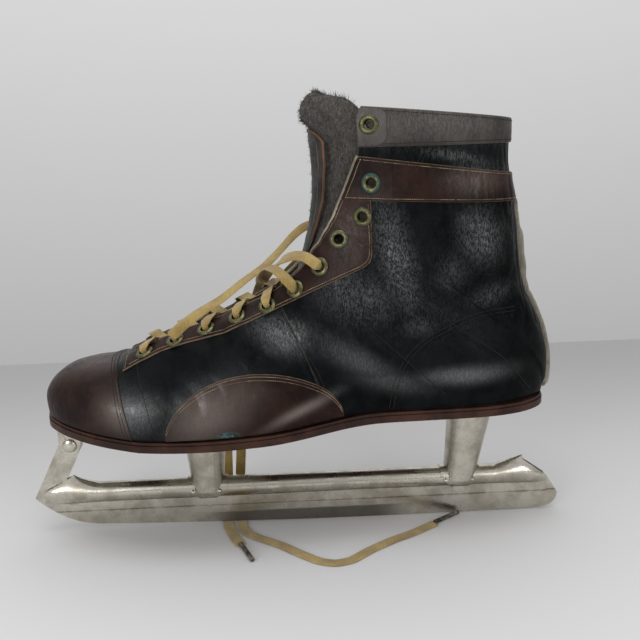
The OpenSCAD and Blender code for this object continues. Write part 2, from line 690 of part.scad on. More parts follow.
// Lace tips, rolled from thin metal on the end of the lace
tip_d = 2.6;
function route_end(route) = route[len(route) - 1];
function tip_dir(route) = let (d = route_end(route) - route[len(route) - 2]) unit([d[0], d[1], 0]);

// Soles
function sole_point(i, side, inset) =
  let (p = sole_widths[i])
  [p[0] * (1 - inset / sole_half), side * max(0, p[1] - inset) + swing(p[0])];
function sole_outline(inset) =
  concat(
    [for (i = [0 : sole_steps]) sole_point(i, -1, inset)],
    [for (i = [sole_steps - 1 : -1 : 1]) sole_point(i, 1, inset)]
  );
profile_over = 2;
arch_steps = 12;
profile_xs = concat(
  [-sole_half - profile_over, toe_break],
  [for (i = [0 : arch_steps]) mix(arch_front, arch_rear, i / arch_steps)],
  [sole_half + profile_over]
);
function sole_profile(low, high) =
  concat(
    [for (x = profile_xs) [x, sole_z(x) + low]],
    reversed([for (x = profile_xs) [x, sole_z(x) + high]])
  );

// A plate that stands in the XZ plane, as thick as given and centred on Y
module upright(points, thick) {
  rotate([90, 0, 0])
    linear_extrude(thick, center = true)
      polygon(points);
}
// A bar along X from a profile in Y and Z
module along_x(x0, x1) {
  translate([x0, 0, 0])
    rotate([90, 0, 90])
      linear_extrude(x1 - x0)
        children();
}
sole_tall = 200;
module sole_slice(inset, low, high) {
  intersection() {
    linear_extrude(sole_tall)
      polygon(sole_outline(inset));
    upright(sole_profile(low, high), sole_tall);
  }
}

// Rivets through the sole plates
front_rivets =
  [for (x = [-1, 0, 1], y = [-1, 1]) [front_x + x * front_plate_l * 0.4, y * front_plate_w * 0.4]];
heel_plate_x = rear_x + (heel_z - tube_z) * tan(rear_lean);
heel_rivets =
  [for (x = [-1, 1], y = [-1, 1]) [heel_plate_x + x * heel_plate_l * 0.39, y * heel_plate_w * 0.37]];
toe_plate_end = 55;
toe_plate_front_w = 9;
toe_rivets =
  [for (x = [0.22, 0.5], y = [-1, 1]) [-toe_plate_end + (1 - x) * toe_plate_l, y * toe_plate_w * 0.33]];
rivet_head_h = 1.8;
rivet_bury = 0.5;
rivet_len = plate_t + outsole_t - rivet_bury;
dome_steps = 8;

// A rivet with its head under the plate: the plate's top face is at local zero
function dome(r, h) =
  [for (i = [0 : dome_steps]) let (a = 90 * i / dome_steps) [r * sin(a), -h * cos(a)]];
module rivet(head_d) {
  translate([0, 0, -plate_t - fit_gap])
    rotate_extrude($fn = fine)
      polygon(concat(dome(head_d / 2, rivet_head_h), [[0, 0]]));
  translate([0, 0, -plate_t - fit_gap])
    cylinder(d = rivet_d, h = rivet_len, $fn = fine);
}
module rivet_bore() {
  translate([0, 0, -plate_t - rivet_head_h])
    cylinder(r = rivet_d / 2 + fit_gap, h = rivet_len + rivet_head_h + fit_gap, $fn = fine);
}
module at_front_rivets() {
  for (p = front_rivets)
    translate([p[0], p[1], ball_z])
      children();
}
module at_heel_rivets() {
  for (p = heel_rivets)
    translate([p[0], p[1], heel_z])
      children();
}
// The toe plate's frame lies on the sloping toe spring
module on_toe_spring() {
  translate([toe_break, 0, ball_z])
    rotate([0, toe_spring, 0])
      children();
}
module at_toe_rivets() {
  on_toe_spring()
    for (p = toe_rivets)
      translate([p[0], p[1], 0])
        children();
}

// A plate outline with round corners
corner_steps = 6;
function round_rect(l, w, r) =
  [for (c = [[1, 1, 0], [-1, 1, 90], [-1, -1, 180], [1, -1, 270]], i = [0 : corner_steps])
    let (a = c[2] + 90 * i / corner_steps)
    [c[0] * (l / 2 - r) + r * cos(a), c[1] * (w / 2 - r) + r * sin(a)]];

// Toe brace: a flat bar from the blade's nose to the tabs of the toe plate
brace_pin = [-134.5, 55];
brace_pin_d = 4;
brace_foot = [-blade_half + brace_w * 0.56, blade_top];
brace_run = brace_pin - brace_foot;
brace_len = norm(brace_run);
brace_angle = atan2(brace_run[1], brace_run[0]);
tab_t = plate_t;
tab_y = blade_t / 2 + fit_gap;
module brace_bore() {
  translate([brace_pin[0], 0, brace_pin[1]])
    rotate([90, 0, 0])
      cylinder(r = brace_pin_d / 2 + fit_gap, h = sole_tall, center = true, $fn = fine);
}
module brace_shape(thick) {
  translate([brace_foot[0], 0, brace_foot[1]])
    rotate([0, -brace_angle, 0])
      translate([-brace_w, -thick / 2, -brace_w / 2])
        cube([brace_len + brace_w, thick, brace_w]);
  translate([brace_pin[0], 0, brace_pin[1]])
    rotate([90, 0, 0])
      cylinder(d = brace_w, h = thick, center = true, $fn = fine);
}

// Blade
heel_arc_steps = 8;
blade_rear_z = rocker_z(blade_half) + blade_heel_r;
nose_end = nose_len - blade_half;
blade_bottom = concat(
  [for (x = [-blade_half : blade_step / 4 : nose_end]) [x, blade_z(x)]],
  [for (x = [nose_end + blade_step : blade_step : blade_half - blade_heel_r - fit_gap]) [x, blade_z(x)]],
  [for (i = [0 : heel_arc_steps])
    let (a = 90 * i / heel_arc_steps)
    [blade_half - blade_heel_r + blade_heel_r * sin(a), blade_rear_z - blade_heel_r * cos(a)]]
);
nose_edge = 0.1;
nose_top = max(blade_top, blade_z(-blade_half) + nose_edge);
module runner() {
  color(nickel)
    upright(concat(blade_bottom, [[tube_rear, blade_top], [-blade_half, nose_top]]), blade_t);
}

// Tube: one folded sheet, round in the middle and pinched to slanted fish mouths at both ends
mouth_lift = 2;
mouth_half = skirt_half + 1.4 * tube_wall;
mouth_steps = 8;
tube_sides = 26;
front_slant = 21;
rear_slant = 15;
slant_rise = 11;
crest_pinch = 0.55;
// How far a place along the tube is pinched: 0 is round, 1 is a mouth
function pinch(x) =
  clamp(max(tube_front + pinch_len - x, x - tube_rear + pinch_len) / pinch_len, 0, 1);
// The sides close like a bow, late and round
function bow(e) = 1 - sqrt(1 - e ^ 2);
// Section of the folded sheet, from the far skirt's lower edge over the top to the near one
function tube_section(x, wall) =
  let (
    e = pinch(x),
    a = mix(tube_r, mouth_half, bow(e)) - wall,
    b = mix(tube_r, pinch_h / 2, e) - wall,
    half = skirt_half - wall,
    start = asin(half / a),
    low = blade_z(x) + blade_show
  )
  concat(
    [[half, low]],
    [for (j = [0 : tube_sides])
      let (h = mix(start, 360 - start, j / tube_sides), crest = max(0, -cos(h)))
      [a * sin(h) * (1 - crest_pinch * e * crest ^ 2), tube_z + mouth_lift * e - b * cos(h)]],
    [[-half, low]]
  );
// The ends slant away from the top of each mouth
function slant(z) = clamp((z - tube_z - mouth_lift) / slant_rise, 0, 1);
function rear_cut(z) = clamp((z - tube_z + mouth_lift) / slant_rise, 0, 1);
function tube_row(x, shift_front, shift_rear, wall) =
  [for (p = tube_section(x, wall))
    [x + shift_front * front_slant * slant(p[1]) - shift_rear * rear_slant * rear_cut(p[1]), p[0], p[1]]];
function tube_grid(wall) =
  [
    for (i = [0 : mouth_steps])
      tube_row(tube_front + pinch_len * i / mouth_steps, 1 - i / mouth_steps, 0, wall),
    for (i = [mouth_steps : -1 : 0])
      tube_row(tube_rear - pinch_len * i / mouth_steps, 0, 1 - i / mouth_steps, wall)
  ];
module tube() {
  color(nickel)
    sheet(tube_grid(0), tube_grid(tube_wall));
}

// Saddles: sheet steel folded over the tube, with a tongue down each skirt
saddle_in = tube_r + fit_gap;
saddle_out = saddle_in + saddle_t;
tongue_half = 5;
tongue_z = blade_show + tongue_half + 2.5;
shoulder = 3;
function saddle_outline(x) =
  concat(
    [[x - saddle_len / 2, tube_z + 2 * tube_r], [x - saddle_len / 2, tube_z + shoulder],
      [x - saddle_len / 2 + shoulder, tube_z - shoulder / 2]],
    [for (i = [0 : corner_steps])
      let (a = 180 * i / corner_steps)
      [x - tongue_half * cos(a), tongue_z - tongue_half * sin(a)]],
    [[x + saddle_len / 2 - shoulder, tube_z - shoulder / 2], [x + saddle_len / 2, tube_z + shoulder],
      [x + saddle_len / 2, tube_z + 2 * tube_r]]
  );
module saddle_profile(r, half) {
  translate([0, tube_z])
    circle(r = r, $fn = fine);
  translate([-half, 0])
    square([2 * half, tube_z]);
}
module saddle(x) {
  color(nickel)
    intersection() {
      difference() {
        along_x(x - saddle_len, x + saddle_len)
          saddle_profile(saddle_out, skirt_half + fit_gap + saddle_t);
        along_x(x - saddle_len - 1, x + saddle_len + 1)
          saddle_profile(saddle_in, skirt_half + fit_gap);
      }
      upright(saddle_outline(x), sole_tall);
    }
}
module front_saddle() saddle(front_x);
module rear_saddle() saddle(rear_x);

// Stanchions: flared cups brazed between the saddles and the sole plates
cup_steps = 10;
flare = 1.15;
function cup_r(u, cup_d, inner) = mix(stanchion_d, cup_d, u ^ flare) / 2 - (inner ? stanchion_wall : 0);
function cup_side(height, cup_d, inner) =
  [for (i = [0 : cup_steps]) let (u = i / cup_steps) [cup_r(u, cup_d, inner), mix(tube_r, height, u)]];
function cup_profile(height, cup_d) =
  concat(
    [[stanchion_d / 2 - stanchion_wall, -tube_r], [stanchion_d / 2, -tube_r]],
    cup_side(height, cup_d, false),
    reversed(cup_side(height, cup_d, true))
  );
module stanchion(x, lean, top_z, cup_d) {
  reach = (top_z - tube_z) / cos(lean) + cup_d * sin(lean);
  color(nickel)
    difference() {
      intersection() {
        translate([x, 0, tube_z])
          rotate([0, lean, 0])
            rotate_extrude($fn = fine)
              polygon(cup_profile(reach, cup_d));
        translate([x - sole_tall / 2, -sole_tall / 2, tube_z])
          cube([sole_tall, sole_tall, top_z - tube_z]);
      }
      along_x(x - sole_tall, x + sole_tall)
        translate([0, tube_z])
          circle(r = saddle_out + fit_gap, $fn = fine);
    }
}
module front_stanchion() stanchion(front_x, 0, ball_z - plate_t, front_cup_d);
module rear_stanchion() stanchion(rear_x, rear_lean, heel_z - plate_t, rear_cup_d);

// Sole plates
plate_corner = 12;
module front_sole_plate() {
  color(nickel)
    difference() {
      translate([front_x, 0, ball_z - plate_t])
        linear_extrude(plate_t)
          polygon(round_rect(front_plate_l, front_plate_w, plate_corner));
      at_front_rivets()
        rivet_bore();
    }
}
module heel_plate() {
  color(nickel)
    difference() {
      translate([heel_plate_x, 0, heel_z - plate_t])
        linear_extrude(plate_t)
          polygon(round_rect(heel_plate_l, heel_plate_w, plate_corner));
      at_heel_rivets()
        rivet_bore();
    }
}
module toe_plate() {
  color(nickel)
    difference() {
      union() {
        on_toe_spring()
          translate([0, 0, -plate_t])
            linear_extrude(plate_t)
              polygon([
                [-toe_plate_end, -toe_plate_front_w], [-toe_plate_end + toe_plate_l, -toe_plate_w / 2],
                [-toe_plate_end + toe_plate_l, toe_plate_w / 2], [-toe_plate_end, toe_plate_front_w]
              ]);
        for (side = [-1, 1])
          translate([brace_pin[0], side * (tab_y + tab_t / 2), brace_pin[1]]) {
            rotate([90, 0, 0])
              cylinder(d = brace_w, h = tab_t, center = true, $fn = fine);
            translate([-brace_w / 2, -tab_t / 2, 0])
              cube([brace_w, tab_t, sole_z(brace_pin[0] + brace_w / 2) - plate_t / 2 - brace_pin[1]]);
          }
      }
      at_toe_rivets()
        rivet_bore();
      brace_bore();
    }
}
module toe_brace() {
  color(nickel)
    difference() {
      brace_shape(blade_t);
      translate([-sole_tall, -sole_tall / 2, 0])
        cube([sole_tall, sole_tall, blade_top]);
      brace_bore();
    }
}
brace_head_y = tab_y + tab_t + fit_gap;
module brace_rivet() {
  color(nickel)
    translate([brace_pin[0], 0, brace_pin[1]])
      rotate([90, 0, 0]) {
        cylinder(d = brace_pin_d, h = 2 * brace_head_y, center = true, $fn = fine);
        for (side = [0, 180])
          rotate([side, 0, 0])
            translate([0, 0, -brace_head_y])
              rotate_extrude($fn = fine)
                polygon(concat(dome(brace_rivet_head_d / 2, rivet_head_h), [[0, 0]]));
      }
}
module front_plate_rivets() {
  color(nickel)
    at_front_rivets()
      rivet(rivet_head_d);
}
module heel_plate_rivets() {
  color(nickel)
    at_heel_rivets()
      rivet(rivet_head_d);
}
module toe_plate_rivets() {
  color(nickel)
    at_toe_rivets()
      rivet(rivet_head_d - 1);
}

// Soles and shank
shank_l = 96;
shank_w = 18;
shank_x = 30;
shank_t = 1.2;
welt_inset = 0.5;
insole_inset = 6.8;
module shank_block(grow) {
  translate([shank_x - shank_l / 2 - grow, -shank_w / 2 - grow, 0])
    cube([shank_l + 2 * grow, shank_w + 2 * grow, sole_tall]);
}
module outsole() {
  color(sole_brown)
    difference() {
      sole_slice(0, 0, outsole_t);
      at_front_rivets()
        rivet_bore();
      at_heel_rivets()
        rivet_bore();
      at_toe_rivets()
        rivet_bore();
    }
}
module welt() {
  color(sole_brown)
    difference() {
      sole_slice(welt_inset, outsole_t + fit_gap, sole_t);
      intersection() {
        shank_block(fit_gap);
        upright(sole_profile(outsole_t, outsole_t + 2 * fit_gap + shank_t), sole_tall);
      }
    }
}
module shank() {
  color(nickel)
    intersection() {
      shank_block(0);
      upright(sole_profile(outsole_t + fit_gap, outsole_t + fit_gap + shank_t), sole_tall);
    }
}
module insole() {
  color(canvas)
    sole_slice(insole_inset, sole_t + fit_gap, sole_t + insole_t);
}

// Upper
module box_toe() {
  color(canvas)
    layer(box_map, box_out, box_out - stiffener_t, 8, 14, closed_toe = true);
}
module heel_counter() {
  color(canvas)
    for (side = [near, far])
      layer(on_side(side, counter_map), counter_out, counter_out - stiffener_t, 12, 6, half = true);
}
module toe_cap() {
  color(oxblood)
    layer(cap_map, overlay_t / 2, -leather_t, 10, 20, closed_toe = true);
}
module vamp() {
  color(black_leather)
    difference() {
      layer(vamp_map, 0, -leather_t, 8, 32);
      eyelet_holes(near);
      eyelet_holes(far);
    }
}
module vamp_lining() {
  color(canvas)
    difference() {
      layer(vamp_map, lining_out, lining_in, 8, 32);
      eyelet_holes(near);
      eyelet_holes(far);
    }
}
module quarter(side) {
  color(black_leather)
    difference() {
      layer(on_side(side, quarter_map), 0, -leather_t, 28, 10, half = true);
      eyelet_holes(side);
    }
}
module near_quarter() quarter(near);
module far_quarter() quarter(far);
module lining(side) {
  color(canvas)
    difference() {
      layer(on_side(side, quarter_map), lining_out, lining_in, 28, 10, half = true);
      eyelet_holes(side);
    }
}
module near_lining() lining(near);
module far_lining() lining(far);
module facing(side) {
  color(oxblood)
    difference() {
      layer(on_side(side, facing_map), overlay_out, overlay_in, 22, 4);
      eyelet_holes(side);
    }
}
module near_facing() facing(near);
module far_facing() facing(far);
module side_patch(side) {
  color(oxblood)
    layer(on_side(side, patch_map), overlay_out, overlay_in, 14, 5);
}
module near_side_patch() side_patch(near);
module far_side_patch() side_patch(far);
module ankle_band(side) {
  color(oxblood)
    difference() {
      layer(on_side(side, ankle_map), overlay_out, overlay_in, 3, 14, half = true);
      eyelet_holes(side);
    }
}
module near_ankle_band() ankle_band(near);
module far_ankle_band() ankle_band(far);
module top_band(side) {
  color(oxblood)
    difference() {
      layer(on_side(side, top_map), overlay_out, overlay_in, 3, 14, half = true);
      eyelet_holes(side);
    }
}
module near_top_band() top_band(near);
module far_top_band() top_band(far);
module back_stay() {
  color(canvas)
    layer(stay_map, overlay_out, overlay_in, 16, 4);
}

// Eyelets: a barrel through all the layers and a rolled flange on the facing
barrel_low = lining_in;
flange_low = overlay_out + eyelet_seat;
module eyelet() {
  rotate_extrude($fn = fine)
    polygon([
      [eyelet_bore / 2, barrel_low], [barrel_r, barrel_low], [barrel_r, flange_low],
      [eyelet_d / 2 - eyelet_flange_t / 2, flange_low], [eyelet_d / 2, flange_low + eyelet_flange_t / 2],
      [eyelet_d / 2 - eyelet_flange_t / 2, flange_low + eyelet_flange_t],
      [eyelet_bore / 2 + eyelet_flange_t / 2, flange_low + eyelet_flange_t],
      [eyelet_bore / 2, flange_low + eyelet_flange_t / 2]
    ]);
}
module near_eyelets() {
  color(brass)
    at_eyelets(near)
      eyelet();
}
module far_eyelets() {
  color(brass)
    at_eyelets(far)
      eyelet();
}

// Tongue: a fixed base under the laces and a flap that folds forward
base_t0 = 5.7;
base_half_q = 0.42;
base_map = function (i, j) [mix(base_t0, base_t1, i), base_half_q * (2 * j - 1)];
module tongue_base() {
  color(black_leather)
    layer(base_map, tongue_out, tongue_in, 12, 8);
}
module tongue_base_felt() {
  color(felt_grey)
    layer(base_map, tongue_felt_out, tongue_felt_in, 12, 8);
}
tongue_top = foot_z + tongue_h - fold[2];
felt_top = foot_z + felt_h - fold[2];
leather_crown = 7;
felt_crown = 14;
flap_back = flap_r - tongue_t;
felt_front = flap_back - skin_gap;
module tongue_flap() {
  color(black_leather)
    sheet(
      flap_grid(tongue_w, tongue_top, leather_crown, flap_r, 12, 10),
      flap_grid(tongue_w, tongue_top, leather_crown, flap_back, 12, 10)
    );
}
module tongue_flap_felt() {
  color(felt_grey)
    sheet(
      flap_grid(felt_w, felt_top, felt_crown, felt_front, 12, 10),
      flap_grid(felt_w, felt_top, felt_crown, felt_front - felt_top_t, 12, 10)
    );
}

// Laces
module lacing() {
  color(lace_gold)
    for (stops = [lower_stops, upper_stops])
      swept(lace_rings(stops));
}
module long_lace_end() {
  color(lace_gold)
    swept(cord_rings(long_route, end_up));
}
module short_lace_end() {
  color(lace_gold)
    swept(cord_rings(short_route, end_up));
}
module loose_strand() {
  color(lace_gold)
    swept(cord_rings(strand_route, strand_up));
}
module lace_tip(route) {
  end = route_end(route);
  color(nickel)
    stand_on([end[0], end[1], tip_d / 2], tip_dir(route))
      cylinder(d = tip_d, h = aglet_len, $fn = fine);
}
module long_lace_tip() lace_tip(long_route);
module short_lace_tip() lace_tip(short_route);

runner();
tube();
front_saddle();
rear_saddle();
front_stanchion();
rear_stanchion();
front_sole_plate();
heel_plate();
toe_plate();
toe_brace();
brace_rivet();
front_plate_rivets();
heel_plate_rivets();
toe_plate_rivets();
outsole();
welt();
insole();
shank();
box_toe();
heel_counter();
toe_cap();
vamp();
vamp_lining();
near_quarter();
far_quarter();
near_lining();
far_lining();
near_facing();
far_facing();
near_side_patch();
far_side_patch();
near_ankle_band();
far_ankle_band();
near_top_band();
far_top_band();
back_stay();
near_eyelets();
far_eyelets();
tongue_base();
tongue_base_felt();
tongue_flap();
tongue_flap_felt();
lacing();
loose_strand();
long_lace_end();
short_lace_end();
long_lace_tip();
short_lace_tip();
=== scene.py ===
# %% [markdown]
# # Antique ice skate: how it looks
# The skate is a black and oxblood leather boot on a nickelled tube blade. The solids already give the
# frame: sizes, places and the fold of the tongue. They could be painted as they are, but leather, felt
# and laces would look like plastic. So steel parts and soles keep their solids and get a finish, and the
# soft pieces are made anew over the same boot last, with seams, stitches, creases and worn edges. Blender
# works in metres. Places on the boot are written in millimetres, as a shoemaker measures them.

# %% Frame
import math
import bpy
import numpy as np
from mathutils import Matrix, Vector, noise


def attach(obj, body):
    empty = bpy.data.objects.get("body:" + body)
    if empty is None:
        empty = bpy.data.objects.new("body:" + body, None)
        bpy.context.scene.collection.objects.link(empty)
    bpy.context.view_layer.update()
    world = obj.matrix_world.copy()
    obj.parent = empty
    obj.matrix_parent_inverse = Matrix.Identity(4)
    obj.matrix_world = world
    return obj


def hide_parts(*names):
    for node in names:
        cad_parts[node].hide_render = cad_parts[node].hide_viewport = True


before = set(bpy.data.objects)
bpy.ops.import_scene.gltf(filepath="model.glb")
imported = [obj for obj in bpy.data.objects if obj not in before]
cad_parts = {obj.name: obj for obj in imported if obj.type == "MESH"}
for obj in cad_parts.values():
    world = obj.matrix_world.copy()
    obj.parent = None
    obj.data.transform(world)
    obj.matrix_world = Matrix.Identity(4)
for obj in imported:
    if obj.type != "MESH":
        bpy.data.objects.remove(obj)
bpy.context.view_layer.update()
MM = 0.001

# %% [markdown]
# ## Camera
# The camera stands close by, a little above the boot, as in the photograph. It could be aimed with a
# Track To constraint. Three plain angles are used instead, because the picture is also rolled a little,
# and angles are easy to read and change. The lens gives the same perspective as the photograph.

# %% Camera
CAMERA_AT = Vector((-0.0001, -0.4546, 0.2294))
CAMERA_PITCH = math.radians(13)
CAMERA_YAW = math.radians(-2)
CAMERA_ROLL = math.radians(-1.84)
CAMERA_LENS = 45.2
SENSOR_WIDTH = 36
ahead = Vector((
    -math.sin(CAMERA_YAW) * math.cos(CAMERA_PITCH),
    math.cos(CAMERA_YAW) * math.cos(CAMERA_PITCH),
    -math.sin(CAMERA_PITCH),
))
level = Vector((math.cos(CAMERA_YAW), math.sin(CAMERA_YAW), 0))
upright = level.cross(ahead)
right = level * math.cos(CAMERA_ROLL) + upright * math.sin(CAMERA_ROLL)
up = upright * math.cos(CAMERA_ROLL) - level * math.sin(CAMERA_ROLL)
camera_data = bpy.data.cameras.new("camera")
camera_data.lens = CAMERA_LENS
camera_data.sensor_width = SENSOR_WIDTH
camera = bpy.data.objects.new("camera", camera_data)
camera.matrix_world = Matrix.Translation(CAMERA_AT) @ Matrix((right, up, -ahead)).transposed().to_4x4()
bpy.context.collection.objects.link(camera)
bpy.context.scene.camera = camera
print("camera at", [round(v, 3) for v in camera.location])

# %% [markdown]
# ## How a finish is mixed
# Old leather and metal are never one even colour. A finish could be painted on an image and wrapped on
# with a UV map. Here each finish is a node tree on one Principled shader, because noise on Object
# coordinates runs over all pieces without a seam, needs no file and stays sharp close by. The class has
# short calls for the nodes that come back in every finish, with sizes in millimetres.

# %% Finish mixer
class Paint:
    """A node material with one principled shader and short calls for the nodes that feed it."""

    def __init__(self, name, color, roughness, metallic=0.0):
        self.material = bpy.data.materials.new(name)
        self.material.use_nodes = True
        self.tree = self.material.node_tree
        self.shader = self.tree.nodes["Principled BSDF"]
        self.set("Base Color", (*color, 1))
        self.set("Roughness", roughness)
        self.set("Metallic", metallic)
        self.where = self.tree.nodes.new("ShaderNodeTexCoord").outputs["Object"]
        self.material.diffuse_color = (*color, 1)

    def set(self, socket, value):
        """Put a constant or a link on one of the shader's own sockets."""
        self.join(self.shader.inputs[socket], value)

    def join(self, socket, value):
        if isinstance(value, bpy.types.NodeSocket):
            self.tree.links.new(value, socket)
        else:
            socket.default_value = value

    def node(self, kind, out, settings=None, **inputs):
        made = self.tree.nodes.new(kind)
        for key, value in (settings or {}).items():
            setattr(made, key, value)
        for key, value in inputs.items():
            self.join(made.inputs[key.replace("_", " ")], value)
        return made.outputs[out]

    def scaled(self, stretch):
        """Object coordinates in millimetres, divided by a stretch along each axis."""
        return self.node("ShaderNodeMapping", "Vector", Vector=self.where,
                         Scale=[1000 / s for s in stretch])

    def noise(self, size, detail=3.0, rough=0.55, stretch=(1, 1, 1), twist=0.0):
        return self.node("ShaderNodeTexNoise", "Fac", Vector=self.scaled([size * s for s in stretch]),
                         Scale=1.0, Detail=detail, Roughness=rough, Distortion=twist)

    def cells(self, size, out="Distance", feature="F1", stretch=(1, 1, 1)):
        return self.node("ShaderNodeTexVoronoi", out, {"feature": feature},
                         Vector=self.scaled([size * s for s in stretch]), Scale=1.0)

    def attribute(self, name):
        return self.node("ShaderNodeAttribute", "Fac", {"attribute_name": name})

    def axis(self, name):
        """One object coordinate in metres."""
        return self.node("ShaderNodeSeparateXYZ", name, Vector=self.where)

    def math(self, operation, a, b=0.0, clamp=False):
        made = self.tree.nodes.new("ShaderNodeMath")
        made.operation = operation
        made.use_clamp = clamp
        self.join(made.inputs[0], a)
        self.join(made.inputs[1], b)
        return made.outputs[0]

    def span(self, value, low, high, out_low=0.0, out_high=1.0):
        """A smooth step of a value between two limits."""
        made = self.tree.nodes.new("ShaderNodeMapRange")
        made.interpolation_type = "SMOOTHSTEP"
        self.join(made.inputs["Value"], value)
        for key, limit in (("From Min", low), ("From Max", high), ("To Min", out_low), ("To Max", out_high)):
            made.inputs[key].default_value = limit
        return made.outputs["Result"]

    def blend(self, share, a, b):
        """A colour between two colours."""
        made = self.tree.nodes.new("ShaderNodeMix")
        made.data_type = "RGBA"
        self.join(made.inputs["Factor"], share)
        for key, color in (("A", a), ("B", b)):
            socket = [s for s in made.inputs if s.name == key and s.type == "RGBA"][0]
            self.join(socket, color if isinstance(color, bpy.types.NodeSocket) else (*color, 1))
        return [s for s in made.outputs if s.type == "RGBA"][0]

    def bump(self, height, depth, strength=1.0, under=None):
        """A bump that is depth millimetres deep, on top of another one."""
        made = self.tree.nodes.new("ShaderNodeBump")
        made.inputs["Strength"].default_value = strength
        made.inputs["Distance"].default_value = depth * MM
        self.join(made.inputs["Height"], height)
        if under is not None:
            self.join(made.inputs["Normal"], under)
        return made.outputs["Normal"]


print("finish mixer is ready")

# %% [markdown]
# ## Worn leather
# The boot's leather is pebbled, finely creased round the ankle, pulled smooth over the foot, scuffed, and
# shiny where it was rubbed, and painted paler there as a painted highlight. One recipe serves all the
# leathers, with other colours and another shine. Wear sits at places and not everywhere. It could be painted
# by hand on the mesh. Two point attributes steer it here, worked out when a piece is made: "cut" is high on
# the raw edges, and "wear_and_highlight" on the rubbed skin with its painted highlights.

# %% Worn leather
def leather(name, dark, light, cut, sheen, scuff_and_highlight, ripple, grain=0.8, gloss=(0.2, 0.0), fine=0.5):
    """Pebbled grain, fine upright creases, scuffs, paler raw edges and painted highlights. ripple is in
    millimetres.
    gloss is the shine of the dull leather and what the attribute wear_and_highlight adds to it; where that
    adds any, the attribute also paints the colour paler towards scuff_and_highlight as a painted highlight.
    fine is how much of that shine and painted highlight is left in the creases."""
    paint = Paint(name, dark, sheen)
    clouds = paint.noise(19, 5, 0.6)
    mottle = paint.noise(3.2, 4, 0.65)
    color = paint.blend(paint.span(clouds, 0.36, 0.66), dark, light)
    color = paint.blend(paint.math("MULTIPLY", paint.span(mottle, 0.52, 0.72), 0.45), color, light)
    scratches = paint.noise(1.5, 5, 0.7, (4.5, 4.5, 0.8), 0.6)
    scuffs = paint.math("MULTIPLY", paint.span(scratches, 0.64, 0.74), paint.span(clouds, 0.48, 0.64))
    specks = paint.math("MULTIPLY", paint.span(paint.noise(0.7, 2, 0.5), 0.72, 0.78), 0.4)
    marks = paint.math("ADD", paint.math("MULTIPLY", scuffs, 0.3), specks, True)
    color = paint.blend(marks, color, scuff_and_highlight)
    waves = paint.noise(1.25, 2.0, 0.5, (0.9, 1.1, 2.6), 0.5)
    creases = paint.math("ABSOLUTE", paint.math("SUBTRACT", waves, 0.5))
    # The shine and the painted highlight are broken up by the grain round the ankle, and smooth over the foot
    smoothed = paint.span(paint.axis("Z"), 0.145, 0.105, 0.0, 0.75)
    tops = paint.math("MAXIMUM", paint.span(creases, 0.0, 0.11, fine, 1.1), smoothed)
    wear_and_highlight = paint.math("MULTIPLY", paint.attribute("wear_and_highlight"), tops)
    # Painted highlight: the rubbed places are painted paler, towards the scuff colour
    color = paint.blend(paint.math("MULTIPLY", wear_and_highlight, 0.6 if gloss[1] else 0.0, True), color, scuff_and_highlight)
    raw = paint.math("MULTIPLY", paint.attribute("cut"), paint.span(paint.noise(4, 4), 0.28, 0.6, 0.45, 1))
    paint.set("Base Color", paint.blend(raw, color, cut))
    shine = paint.span(mottle, 0.3, 0.75, sheen - 0.06, sheen + 0.12)
    paint.set("Roughness", paint.math("ADD", shine, paint.math("MULTIPLY", raw, 0.35)))
    shown = paint.math("ADD", gloss[0], paint.math("MULTIPLY", wear_and_highlight, gloss[1]), True)
    paint.set("Specular IOR Level", shown)
    pebbles = paint.bump(paint.cells(grain, feature="SMOOTH_F1"), 0.05, 0.5)
    rippled = paint.bump(creases, ripple, 0.7, pebbles)
    paint.set("Normal", paint.bump(paint.noise(9, 2, 0.5, (0.7, 1, 1.5), 0.8), 0.5, 0.5, rippled))
    return paint


print("leather recipe is ready")

# %% [markdown]
# ## The boot's leathers
# Black for the vamp and quarters, oxblood for the facings and bands, a smoother oxblood for the toe cap
# and the side patches, faded brown for the collar and a pale tab on it. The near patch has a smear of
# blue-green paint. A thin piece of its own would need to lie on the leather without flickering, so the
# smear is part of the finish: a stretched ball of noise, set at its place by a Mapping node.

# %% Leather colours
TAN_CUT = (0.25, 0.18, 0.12)
OXBLOOD_COLORS = ((0.0090, 0.0040, 0.0031), (0.026, 0.0122, 0.0093), TAN_CUT)
# The paint smear's place and half sizes in metres
SMEAR = {"x": -0.037, "z": 0.0732, "half": 0.008, "height": 0.0028}


def patch_leather():
    """Smooth oxblood with a smear of blue-green paint low on the near side."""
    paint = leather("patch_leather", *OXBLOOD_COLORS, 0.36, (0.115, 0.082, 0.066), 0.06,
                    gloss=(0.08, 0.7), fine=0.95)
    wide, high = 1 / SMEAR["half"], 1 / SMEAR["height"]
    place = paint.node("ShaderNodeMapping", "Vector", Vector=paint.where,
                       Location=(-SMEAR["x"] * wide, 0, -SMEAR["z"] * high), Scale=(wide, 0, high))
    near = paint.node("ShaderNodeVectorMath", "Value", {"operation": "LENGTH"}, Vector=place)
    side = paint.span(paint.axis("Y"), -0.02, -0.03)
    blots = paint.span(paint.noise(1.6, 5, 0.7), 0.44, 0.56)
    smear = paint.math("MULTIPLY", paint.span(near, 1.0, 0.2), blots)
    under = paint.shader.inputs["Base Color"].links[0].from_socket
    paint.set("Base Color", paint.blend(paint.math("MULTIPLY", smear, side), under, (0.03, 0.13, 0.14)))
    return paint.material


